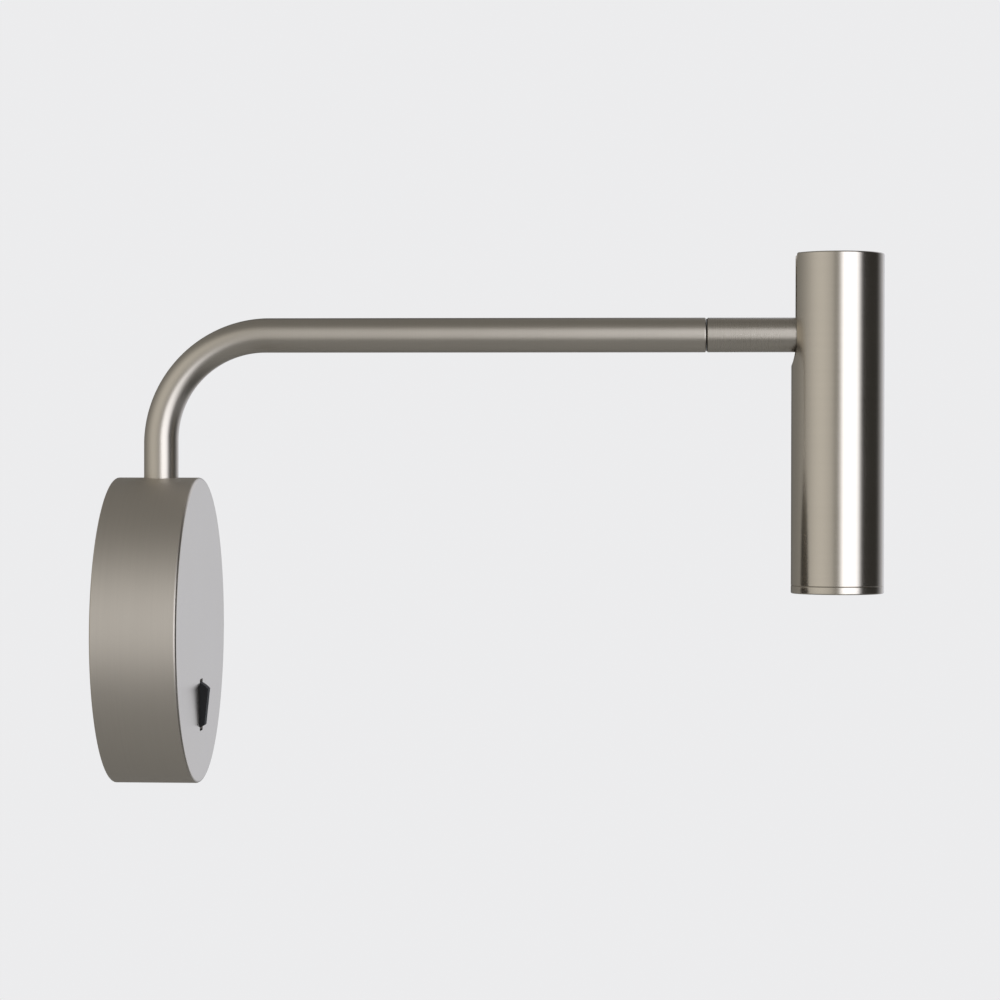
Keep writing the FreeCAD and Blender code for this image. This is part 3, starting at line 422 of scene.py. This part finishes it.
def bevelled(mesh, width, segments=3, angle=50.0):
    """The mesh with its sharp edges rounded, shaded so that its flat faces stay flat."""
    rounded = with_modifiers(mesh, ("BEVEL", {
        "width": width * MM, "segments": segments, "limit_method": "ANGLE",
        "angle_limit": math.radians(angle), "use_clamp_overlap": False}))
    smooth_by_angle(rounded, 35.0)
    return with_modifiers(rounded, ("WEIGHTED_NORMAL", {"keep_sharp": True, "weight": 100}))


def with_modifiers(mesh, *recipes):
    """Applies modifiers, given as (kind, settings), to a mesh and returns the new mesh."""
    holder = bpy.data.objects.new("holder", mesh)
    bpy.context.scene.collection.objects.link(holder)
    for kind, settings in recipes:
        modifier = holder.modifiers.new(kind.lower(), kind)
        for name, value in settings.items():
            setattr(modifier, name, value)
    result = bpy.data.meshes.new_from_object(
        holder.evaluated_get(bpy.context.evaluated_depsgraph_get()))
    bpy.data.objects.remove(holder)
    return result


def eased_copy(node, envelope, place, bevel=0.0):
    """A CAD node's copy, trimmed by a turned envelope whose edges are rounded."""
    cutter_mesh = turned_mesh(f"{node}_envelope", envelope, place, segments=256)
    cutter = bpy.data.objects.new(f"{node}_envelope", cutter_mesh)
    bpy.context.scene.collection.objects.link(cutter)
    recipes = [("BOOLEAN", {"operation": "INTERSECT", "solver": "EXACT", "object": cutter})]
    if bevel:
        recipes.append(("BEVEL", {
            "width": bevel * MM, "segments": 2, "limit_method": "ANGLE",
            "angle_limit": math.radians(50), "harden_normals": False}))
    mesh = with_modifiers(merged_copy(node, f"{node}_finished"), *recipes)
    bpy.data.objects.remove(cutter)
    smooth_by_angle(mesh)
    return with_modifiers(mesh, ("WEIGHTED_NORMAL", {"keep_sharp": True, "weight": 100}))


# Shapes made by geometry nodes ------------------------------------------------------------------

class ShapeTree:
    """A geometry node tree with named inputs."""

    def __init__(self, name):
        self.tree = bpy.data.node_groups.new(name, "GeometryNodeTree")
        self.tree.interface.new_socket("Geometry", in_out="INPUT",
                                       socket_type="NodeSocketGeometry")
        self.tree.interface.new_socket("Geometry", in_out="OUTPUT",
                                       socket_type="NodeSocketGeometry")
        self.inputs = {}
        self.entry = self.tree.nodes.new("NodeGroupInput")
        self.exit = self.tree.nodes.new("NodeGroupOutput")

    def named_input(self, name, kind="NodeSocketFloat"):
        item = self.tree.interface.new_socket(name, in_out="INPUT", socket_type=kind)
        self.inputs[name] = item.identifier
        return next(s for s in self.entry.outputs if s.identifier == item.identifier)

    def add(self, kind, settings=None, **sockets):
        node = self.tree.nodes.new(kind)
        for name, value in (settings or {}).items():
            setattr(node, name, value)
        for name, value in sockets.items():
            title = name.replace("_", " ").lower()
            usable = [s for s in node.inputs if s.enabled and s.name.lower() == title]
            self.put(usable[0], value)
        return node

    def put(self, socket, value):
        if hasattr(value, "is_output"):
            self.tree.links.new(value, socket)
        else:
            socket.default_value = value

    def math(self, operation, *values):
        node = self.tree.nodes.new("ShaderNodeMath")
        node.operation = operation
        for socket, value in zip(node.inputs, values):
            self.put(socket, value)
        return node.outputs[0]

    def vector_math(self, operation, *values):
        node = self.tree.nodes.new("ShaderNodeVectorMath")
        node.operation = operation
        usable = [s for s in node.inputs if s.enabled]
        for socket, value in zip(usable, values):
            self.put(socket, value)
        return next(s for s in node.outputs if s.enabled)


def bent_tube_tree():
    """Three corners, a fillet, a ring swept along them, and the bend's slight flattening."""
    t = ShapeTree("bent_tube")
    radius = t.named_input("Tube radius")
    foot_out = t.named_input("Foot out")
    bottom = t.named_input("Foot bottom")
    height = t.named_input("Arm height")
    reach = t.named_input("Arm end out")
    bend = t.named_input("Bend radius")
    flattening = t.named_input("Flattening")
    sides = t.named_input("Sides", "NodeSocketInt")
    steps = t.named_input("Bend steps", "NodeSocketInt")
    finish = t.named_input("Material", "NodeSocketMaterial")

    corner_line = t.add("GeometryNodeMeshLine", count=3)
    index = t.add("GeometryNodeInputIndex").outputs[0]
    is_first = t.math("LESS_THAN", index, 0.5)
    is_last = t.math("GREATER_THAN", index, 1.5)
    rise = t.math("SUBTRACT", height, bottom)
    up = t.math("SUBTRACT", height, t.math("MULTIPLY", rise, is_first))
    run = t.math("SUBTRACT", reach, foot_out)
    out = t.math("ADD", foot_out, t.math("MULTIPLY", run, is_last))
    spot = t.add("ShaderNodeCombineXYZ", x=0.0, y=t.math("MULTIPLY", out, -1.0), z=up)
    corners = t.add("GeometryNodeSetPosition", geometry=corner_line.outputs[0],
                    position=spot.outputs[0])
    path = t.add("GeometryNodeMeshToCurve", mesh=corners.outputs[0])
    round_path = t.add("GeometryNodeFilletCurve", {"mode": "POLY"}, curve=path.outputs[0],
                       radius=bend, count=steps)
    keep_place = t.add("GeometryNodeCaptureAttribute")
    keep_place.capture_items.new("VECTOR", "Centre")
    keep_place.capture_items.new("VECTOR", "Tangent")
    keep_place.capture_items.new("FLOAT", "Length")
    t.put(keep_place.inputs[0], round_path.outputs[0])
    t.put(keep_place.inputs[1], t.add("GeometryNodeInputPosition").outputs[0])
    t.put(keep_place.inputs[2], t.add("GeometryNodeInputTangent").outputs[0])
    t.put(keep_place.inputs[3], t.add("GeometryNodeSplineParameter").outputs[1])
    ring = t.add("GeometryNodeCurvePrimitiveCircle", {"mode": "RADIUS"},
                 resolution=sides, radius=radius)
    skin = t.add("GeometryNodeCurveToMesh", curve=keep_place.outputs[0],
                 profile_curve=ring.outputs[0])
    centre, tangent = keep_place.outputs[1], keep_place.outputs[2]
    here = t.add("GeometryNodeInputPosition").outputs[0]
    from_centre = t.vector_math("SUBTRACT", here, centre)
    across = t.vector_math("CROSS_PRODUCT", tangent, (1.0, 0.0, 0.0))
    parts = t.add("ShaderNodeSeparateXYZ", vector=tangent)
    amount = t.math("ABSOLUTE", t.math("MULTIPLY", parts.outputs[1], parts.outputs[2]))
    amount = t.math("MULTIPLY", t.math("MULTIPLY", amount, 2.0), flattening)
    in_plane = t.vector_math("DOT_PRODUCT", from_centre, across)
    dot = next(s for s in in_plane.node.outputs if s.name == "Value")
    squeeze = t.add("ShaderNodeVectorMath", {"operation": "SCALE"}, vector=across,
                    scale=t.math("MULTIPLY", dot, t.math("MULTIPLY", amount, -1.0)))
    moved = t.add("GeometryNodeSetPosition", geometry=skin.outputs[0],
                  offset=squeeze.outputs[0])
    marked = t.add("GeometryNodeStoreNamedAttribute", {"data_type": "FLOAT"},
                   geometry=moved.outputs[0], name="along", value=keep_place.outputs[3])
    real = t.add("GeometryNodeRealizeInstances", geometry=marked.outputs[0])
    dressed = t.add("GeometryNodeSetMaterial", geometry=real.outputs[0], material=finish)
    t.put(t.exit.inputs[0], dressed.outputs[0])
    return t


def grown(name, t, settings):
    """The plain mesh that a tree makes with these values of its named inputs."""
    holder = bpy.data.objects.new(name, bpy.data.meshes.new(name))
    bpy.context.scene.collection.objects.link(holder)
    modifier = holder.modifiers.new("grow", "NODES")
    modifier.node_group = t.tree
    for title, value in settings.items():
        modifier[t.inputs[title]] = value
    mesh = bpy.data.meshes.new_from_object(
        holder.evaluated_get(bpy.context.evaluated_depsgraph_get()))
    bpy.data.objects.remove(holder)
    return mesh


def swept_tube(name, material, radius):
    """The bent tube for one radius, as an open skin."""
    return grown(name, bent_tube_tree(), {
        "Tube radius": radius * MM, "Foot out": FOOT_OUT * MM, "Foot bottom": FOOT_BOTTOM * MM,
        "Arm height": ARM_HEIGHT * MM, "Arm end out": SEAM_OUT * MM,
        "Bend radius": BEND_RADIUS * MM, "Flattening": BEND_FLATTENING,
        "Sides": 96, "Bend steps": 72, "Material": material,
    })


def arm_tube_mesh(material):
    """Outer and inner skins, joined by the tube's two cut ends."""
    bm = bmesh.new()
    for radius in (TUBE_RADIUS, TUBE_RADIUS - TUBE_WALL):
        bm.from_mesh(swept_tube("arm_tube_skin", material, radius))
    open_edges = [edge for edge in bm.edges if edge.is_boundary]
    for low in (True, False):
        rim = [e for e in open_edges if (e.verts[0].co.z < 2 * FOOT_BOTTOM * MM) == low]
        bmesh.ops.bridge_loops(bm, edges=rim)
    bmesh.ops.recalc_face_normals(bm, faces=bm.faces)
    mesh = bpy.data.meshes.new("arm_tube_skin")
    bm.to_mesh(mesh)
    bm.free()
    return bevelled(mesh, TUBE_END_EDGE, angle=60.0)


PAST_BOTH_SIDES = 3.0           # the length of a screw's slot, in head radii
SHANK_SHARE = 0.5               # the radius of its shank, in head radii
SLOT_SHARE = 0.28               # the width of its slot, in head radii


def screw_row_tree():
    """Cheese-head screws in a row, each a slotted head on a plain shank, heads up before the turn."""
    t = ShapeTree("screw_row")
    first = t.named_input("First", "NodeSocketVector")
    step = t.named_input("Step", "NodeSocketVector")
    turn = t.named_input("Turn", "NodeSocketVector")
    count = t.named_input("Count", "NodeSocketInt")
    head_radius = t.named_input("Head radius")
    head_height = t.named_input("Head height")
    shank_radius = t.named_input("Shank radius")
    shank_length = t.named_input("Shank length")
    slot_width = t.named_input("Slot width")
    finish = t.named_input("Material", "NodeSocketMaterial")

    def raised(geometry, height):
        lift = t.add("ShaderNodeCombineXYZ", x=0.0, y=0.0, z=height)
        return t.add("GeometryNodeTransform", geometry=geometry, translation=lift.outputs[0])

    head = t.add("GeometryNodeMeshCylinder", vertices=40, radius=head_radius, depth=head_height)
    head = raised(head.outputs[0], t.math("MULTIPLY", head_height, 0.5))
    slot_size = t.add("ShaderNodeCombineXYZ", x=t.math("MULTIPLY", head_radius, PAST_BOTH_SIDES),
                      y=slot_width, z=head_height)
    slot = t.add("GeometryNodeMeshCube", size=slot_size.outputs[0])
    slot = raised(slot.outputs[0], head_height)
    cut = t.add("GeometryNodeMeshBoolean", {"operation": "DIFFERENCE"}, mesh_1=head.outputs[0])
    t.put(next(s for s in cut.inputs if s.name == "Mesh 2"), slot.outputs[0])
    shank = t.add("GeometryNodeMeshCylinder", vertices=24, radius=shank_radius,
                  depth=shank_length)
    shank = raised(shank.outputs[0], t.math("MULTIPLY", shank_length, -0.5))
    whole = t.add("GeometryNodeJoinGeometry")
    for part in (cut, shank):
        t.put(whole.inputs[0], part.outputs[0])
    places = t.add("GeometryNodeMeshLine", {"mode": "OFFSET"}, count=count,
                   start_location=first, offset=step)
    row = t.add("GeometryNodeInstanceOnPoints", points=places.outputs[0],
                instance=whole.outputs[0], rotation=turn)
    real = t.add("GeometryNodeRealizeInstances", geometry=row.outputs[0])
    dressed = t.add("GeometryNodeSetMaterial", geometry=real.outputs[0], material=finish)
    t.put(t.exit.inputs[0], dressed.outputs[0])
    return t


def screw_row(name, material, body, first, step, turn, head_radius, head_height, shank_length):
    """Two screws that the CAD leaves out, in millimetres and degrees."""
    mesh = grown(name, screw_row_tree(), {
        "First": [place * MM for place in first], "Step": [place * MM for place in step],
        "Turn": [math.radians(angle) for angle in turn], "Count": 2,
        "Head radius": head_radius * MM, "Head height": head_height * MM,
        "Shank radius": head_radius * SHANK_SHARE * MM, "Shank length": shank_length * MM,
        "Slot width": head_radius * SLOT_SHARE * MM, "Material": material,
    })
    smooth_by_angle(mesh)
    return new_piece(name, mesh, material, body, "steel")


# Pieces -----------------------------------------------------------------------------------------

SWIVEL_AXIS = (0.0, 0.0, ARM_HEIGHT)
CANOPY_SHAVE = 0.03             # an envelope lies this far inside the CAD's surface
SHAVE = 0.012
SPINDLE_BACK = 140.0
SPINDLE_RADIUS = 2.45
PAST_STUB = 200.0
# painted shade: the canopy's and the stub's nickel are the head's plating made darker (0.97 and
# 0.90), so that their reflections come out dimmer
canopy_nickel = brushed_nickel("brushed_nickel_canopy", (0.0, 0.0, 0.0), "Y", roughness=0.50,
                               face=(CANOPY_DEPTH, 0.23), painted_shade=0.97)
tube_nickel = swept_nickel("brushed_nickel_tube")
stub_nickel = brushed_nickel("brushed_nickel_stub", SWIVEL_AXIS, "Y", pitch=2.6, groove=0.0018,
                             roughness=0.28, painted_shade=0.90)
head_nickel = brushed_nickel("brushed_nickel_head", (0.0, -HEAD_OUT, 0.0), "Z", roughness=0.19)
foot_nickel = brushed_nickel("brushed_nickel_foot", (0.0, -FOOT_OUT, 0.0), "Z")

new_piece("canopy_drum", eased_copy("canopy", (
    (0.0, 0.0),
    (CANOPY_RADIUS - CANOPY_SHAVE, 0.0, CANOPY_WALL_EDGE),
    (CANOPY_RADIUS - CANOPY_SHAVE, CANOPY_DEPTH, CANOPY_EDGE),
    (0.0, CANOPY_DEPTH),
), ALONG_OUT), canopy_nickel, "base", "nickel", "canopy")

new_piece("bent_arm_tube", arm_tube_mesh(tube_nickel), tube_nickel, "arm", "nickel", "arm_tube")

new_piece("turned_stub", eased_copy("swivel_stub", (
    (0.0, SPINDLE_BACK),
    (SPINDLE_RADIUS, SPINDLE_BACK),
    (SPINDLE_RADIUS, STUB_START),
    (TUBE_RADIUS - SHAVE, STUB_START, STUB_EDGE),
    (TUBE_RADIUS - SHAVE, PAST_STUB),
    (0.0, PAST_STUB),
), Matrix.Translation((0, 0, ARM_HEIGHT * MM)) @ ALONG_OUT), stub_nickel, "swivel",
    "nickel", "swivel_stub")

new_piece("slotted_head_tube", eased_copy("head_tube", (
    (0.0, HEAD_TUBE_BOTTOM),
    (HEAD_RADIUS - SHAVE, HEAD_TUBE_BOTTOM, SMALL_EDGE),
    (HEAD_RADIUS - SHAVE, HEAD_TOP, HEAD_EDGE),
    (0.0, HEAD_TOP),
), HEAD_AXIS, bevel=0.08), head_nickel, "head", "nickel", "head_tube")

new_piece("bezel_end_ring", turned_mesh("bezel_end_ring", (
    (BEZEL_OPENING, HEAD_BOTTOM, SMALL_EDGE),
    (HEAD_RADIUS, HEAD_BOTTOM, BEZEL_EDGE),
    (HEAD_RADIUS, HEAD_TUBE_BOTTOM, SMALL_EDGE),
    (HEAD_BORE, HEAD_TUBE_BOTTOM),
    (HEAD_BORE, BEZEL_SPIGOT_TOP),
    (BEZEL_OPENING, BEZEL_SPIGOT_TOP),
), HEAD_AXIS), head_nickel, "head", "nickel", "bezel_ring")

metals = {
    "steel": plain_metal("zinc_plated_steel", (0.60, 0.60, 0.58), 0.35),
    "brass": plain_metal("turned_brass", (0.78, 0.57, 0.28), 0.28),
    "aluminium": plain_metal("turned_aluminium", (0.78, 0.78, 0.78), 0.30),
}
black = moulded("moulded_black", (0.010, 0.010, 0.011), 0.60, Specular_IOR_Level=0.2)
new_piece("rounded_rocker", bevelled(merged_copy("rocker", "rounded_rocker"), ROCKER_EDGE),
          black, "rocker", "black_plastic", "rocker")
finishes = {
    **metals,
    "nickel": foot_nickel,
    "black_plastic": black,
    "white_plastic": moulded("moulded_white", (0.80, 0.80, 0.78), 0.40),
    "grey_plastic": moulded("moulded_grey", (0.30, 0.31, 0.32), 0.45),
    "nylon": moulded("natural_nylon", (0.78, 0.75, 0.66), 0.42),
    "rubber": moulded("black_rubber", (0.02, 0.02, 0.02), 0.65),
    "board": moulded("green_board", (0.03, 0.16, 0.07), 0.38),
    "pad": moulded("thermal_pad_grey", (0.38, 0.42, 0.45), 0.70),
    "phosphor": moulded("yellow_phosphor", (0.85, 0.66, 0.12), 0.50),
    "lens": moulded("frosted_lens", (0.92, 0.92, 0.90), 0.35, Transmission_Weight=0.85,
                    IOR=1.49),
    "lead_black": moulded("lead_sleeve", (0.02, 0.02, 0.022), 0.50),
}
for node in nodes.values():
    slot = node.material_slots[0]
    slot.material = finishes[slot.material.name.split(".")[0]]

HEADS_TO_WALL = (-90, 0, 0)
HEADS_DOWN = (180, 0, 0)
driver_low, driver_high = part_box("driver_case")
driver_x = (driver_low.x + driver_high.x) / 2 / MM
screw_row("driver_screws", metals["steel"], "base", (driver_x, DRIVER_EAR_BACK, -DRIVER_SCREW_UP),
          (0, 0, 2 * DRIVER_SCREW_UP), HEADS_TO_WALL,
          head_radius=2.1, head_height=1.4, shank_length=6.5)
screw_row("switch_screws", metals["steel"], "base",
          (0, SWITCH_EAR_BACK, SWITCH_HEIGHT - SWITCH_SCREW_UP), (0, 0, 2 * SWITCH_SCREW_UP),
          HEADS_TO_WALL, head_radius=1.9, head_height=1.2, shank_length=5.0)
screw_row("board_screws", metals["steel"], "head", (-BOARD_SCREW_OUT, -HEAD_OUT, BOARD_BOTTOM),
          (2 * BOARD_SCREW_OUT, 0, 0), HEADS_DOWN,
          head_radius=1.5, head_height=0.8, shank_length=4.0)


# Floor, light and camera ------------------------------------------------------------------------

FLOOR_HEIGHT = -0.85            # metres
FLOOR_RADIUS = 2.1
FLOOR_OUT = 0.1
FLOOR_FADE = (900.0, 2000.0)    # millimetres from the floor's centre
FLOOR_PAINTED_SHADE = (300.0, 1100.0)    # painted shade, millimetres out from the wall
floor_mesh = bpy.data.meshes.new("studio_floor")
bm = bmesh.new()
bmesh.ops.create_circle(bm, cap_ends=True, segments=96, radius=FLOOR_RADIUS)
bm.transform(Matrix.Translation((0, -FLOOR_OUT, FLOOR_HEIGHT)))
bm.to_mesh(floor_mesh)
bm.free()
floor = bpy.data.objects.new("studio_floor", floor_mesh)
bpy.context.scene.collection.objects.link(floor)
pale = Finish("pale_floor", (0.35, 0.35, 0.35), 0.9)
x, y, z = pale.parts_of(pale.place())
out_from_centre = y + FLOOR_OUT / MM
distance = (x * x + out_from_centre * out_from_centre).root()
grain = pale.noise(pale.place(), 0.02)
seen = pale.add("ShaderNodeLightPath", None)
near = pale.blend(grain, (0.43, 0.43, 0.42, 1.0), (0.47, 0.47, 0.46, 1.0))
# painted shade: for all rays but the camera's the floor darkens to near black out from the wall, so
# that the metal's undersides reflect dark
shaded_floor = pale.blend(pale.eased(-y, *FLOOR_PAINTED_SHADE), near, (0.10, 0.10, 0.10, 1.0))
bright = pale.blend(grain, (0.93, 0.93, 0.93, 1.0), (0.97, 0.97, 0.97, 1.0))
pale.give(Base_Color=pale.blend(seen, shaded_floor, bright), Alpha=1.0 - pale.eased(distance, *FLOOR_FADE))
floor_mesh.materials.append(pale.material)

# The studio round the lamp, in degrees. Azimuth 0 is towards the camera, 90 straight out of the
# wall and -90 into the wall. A hump has a middle and a reach, a window two ends and a softness.
WALL_GLOW, WALL_GLOW_LIGHT = (-46.0, 91.0), 0.68
BACK_GLOW, BACK_GLOW_LIGHT = (-135.0, 60.0), 0.20
EVEN_LIGHT = 0.04
DARK_GAP, DARK_GAP_DEPTH = (-8.0, 9.0), 0.26
SOFT_BOX, SOFT_BOX_TALL, SOFT_BOX_LIGHT = (6.0, 53.0, 9.0), (-38.0, 38.0, 14.0), 1.85
FAR_CARD, FAR_CARD_LIGHT = (157.0, 50.0), 0.79
ROOM_END, ROOM_END_DARK = (95.0, 60.0), 0.15
LOW_CARD_TALL, LOW_CARD_LIGHT = (-36.0, -18.0, 6.0), 0.25
EYE_LEVEL = (-22.0, 46.0, 16.0)
OVERHEAD_LIGHT = 0.22
WARM_TINT = (1.0, 0.975, 0.92)
WHITE_TINT = (0.98, 1.01, 1.11)

world = bpy.data.worlds.new("studio")
bpy.context.scene.world = world
world.use_nodes = True
sky = Maker(world.node_tree)
x, y, z = sky.parts_of(sky.add("ShaderNodeTexCoord", None))
degrees = 180.0 / math.pi
azimuth = sky.add("ShaderNodeMath", {"operation": "ARCTAN2"}, -y, -x) * degrees
elevation = sky.add("ShaderNodeMath", {"operation": "ARCSINE"}, z) * degrees

wall_side = (sky.hump(azimuth, *WALL_GLOW) * WALL_GLOW_LIGHT
             + sky.hump(azimuth, *BACK_GLOW) * BACK_GLOW_LIGHT)
dark_gap = 1.0 - sky.hump(azimuth, *DARK_GAP) * DARK_GAP_DEPTH
soft_box = sky.window(azimuth, *SOFT_BOX) * sky.window(elevation, *SOFT_BOX_TALL) * SOFT_BOX_LIGHT
far_card = sky.hump(azimuth, *FAR_CARD) * FAR_CARD_LIGHT
room_end = sky.hump(azimuth, *ROOM_END)
low_card = room_end * sky.window(elevation, *LOW_CARD_TALL) * LOW_CARD_LIGHT
band = sky.window(elevation, *EYE_LEVEL)
overhead = (1.0 - band) * (OVERHEAD_LIGHT - room_end * ROOM_END_DARK)
warm = (EVEN_LIGHT + wall_side) * dark_gap * band + overhead
white = (soft_box + far_card) * band + low_card
studio = sky.add("ShaderNodeCombineColor", None, *(
    warm * warm_share + white * white_share
    for warm_share, white_share in zip(WARM_TINT, WHITE_TINT)))
is_camera = sky.add("ShaderNodeLightPath", None)
shown = sky.blend(is_camera, studio, (0.84, 0.84, 0.85, 1.0))
background = sky.add("ShaderNodeBackground", None, shown, 1.0)
world_out = sky.tree.nodes.new("ShaderNodeOutputWorld")
sky.put(world_out.inputs[0], background)

FILL_SIZE = 0.6
FILL_WATTS = 9.0
FILL_PLACE = (-0.55, -0.60, 0.80)
FILL_AIM = (0.55, 0.50, -0.75)
fill = bpy.data.lights.new("fill_box", "AREA")
fill.size = FILL_SIZE
fill.energy = FILL_WATTS
fill_holder = bpy.data.objects.new("fill_box", fill)
fill_holder.location = FILL_PLACE
fill_holder.rotation_euler = Vector(FILL_AIM).to_track_quat("-Z", "Y").to_euler()
fill_holder.visible_glossy = False
bpy.context.scene.collection.objects.link(fill_holder)

# The camera that was fitted to the photograph: millimetres, radians and pixels of the photograph
CAMERA_DISTANCE = 796.31
CAMERA_OUT = 149.33
CAMERA_HEIGHT = 42.17
CAMERA_YAW = 0.0613
CAMERA_PITCH = -0.0099
CAMERA_ROLL = 0.0016
FOCAL_PIXELS = 3060.84
PHOTO_PIXELS = 1000
SENSOR_WIDTH = 36.0
eye = Vector((-CAMERA_DISTANCE, -CAMERA_OUT, CAMERA_HEIGHT)) * MM
ahead = Vector((math.cos(CAMERA_YAW) * math.cos(CAMERA_PITCH),
                math.sin(CAMERA_YAW) * math.cos(CAMERA_PITCH), math.sin(CAMERA_PITCH)))
right = ahead.cross(Vector((0, 0, 1))).normalized()
above = right.cross(ahead)
leaning_right = right * math.cos(CAMERA_ROLL) + above * math.sin(CAMERA_ROLL)
leaning_up = leaning_right.cross(ahead)
lens = bpy.data.cameras.new("photo_camera")
lens.sensor_width = SENSOR_WIDTH
lens.lens = FOCAL_PIXELS / PHOTO_PIXELS * SENSOR_WIDTH
lens.clip_start, lens.clip_end = 0.01, 20.0
camera = bpy.data.objects.new("photo_camera", lens)
camera.matrix_world = Matrix.Translation(eye) @ Matrix(
    (leaning_right, leaning_up, -ahead)).transposed().to_4x4()
bpy.context.scene.collection.objects.link(camera)
bpy.context.scene.camera = camera

bpy.context.scene.view_settings.view_transform = "Standard"
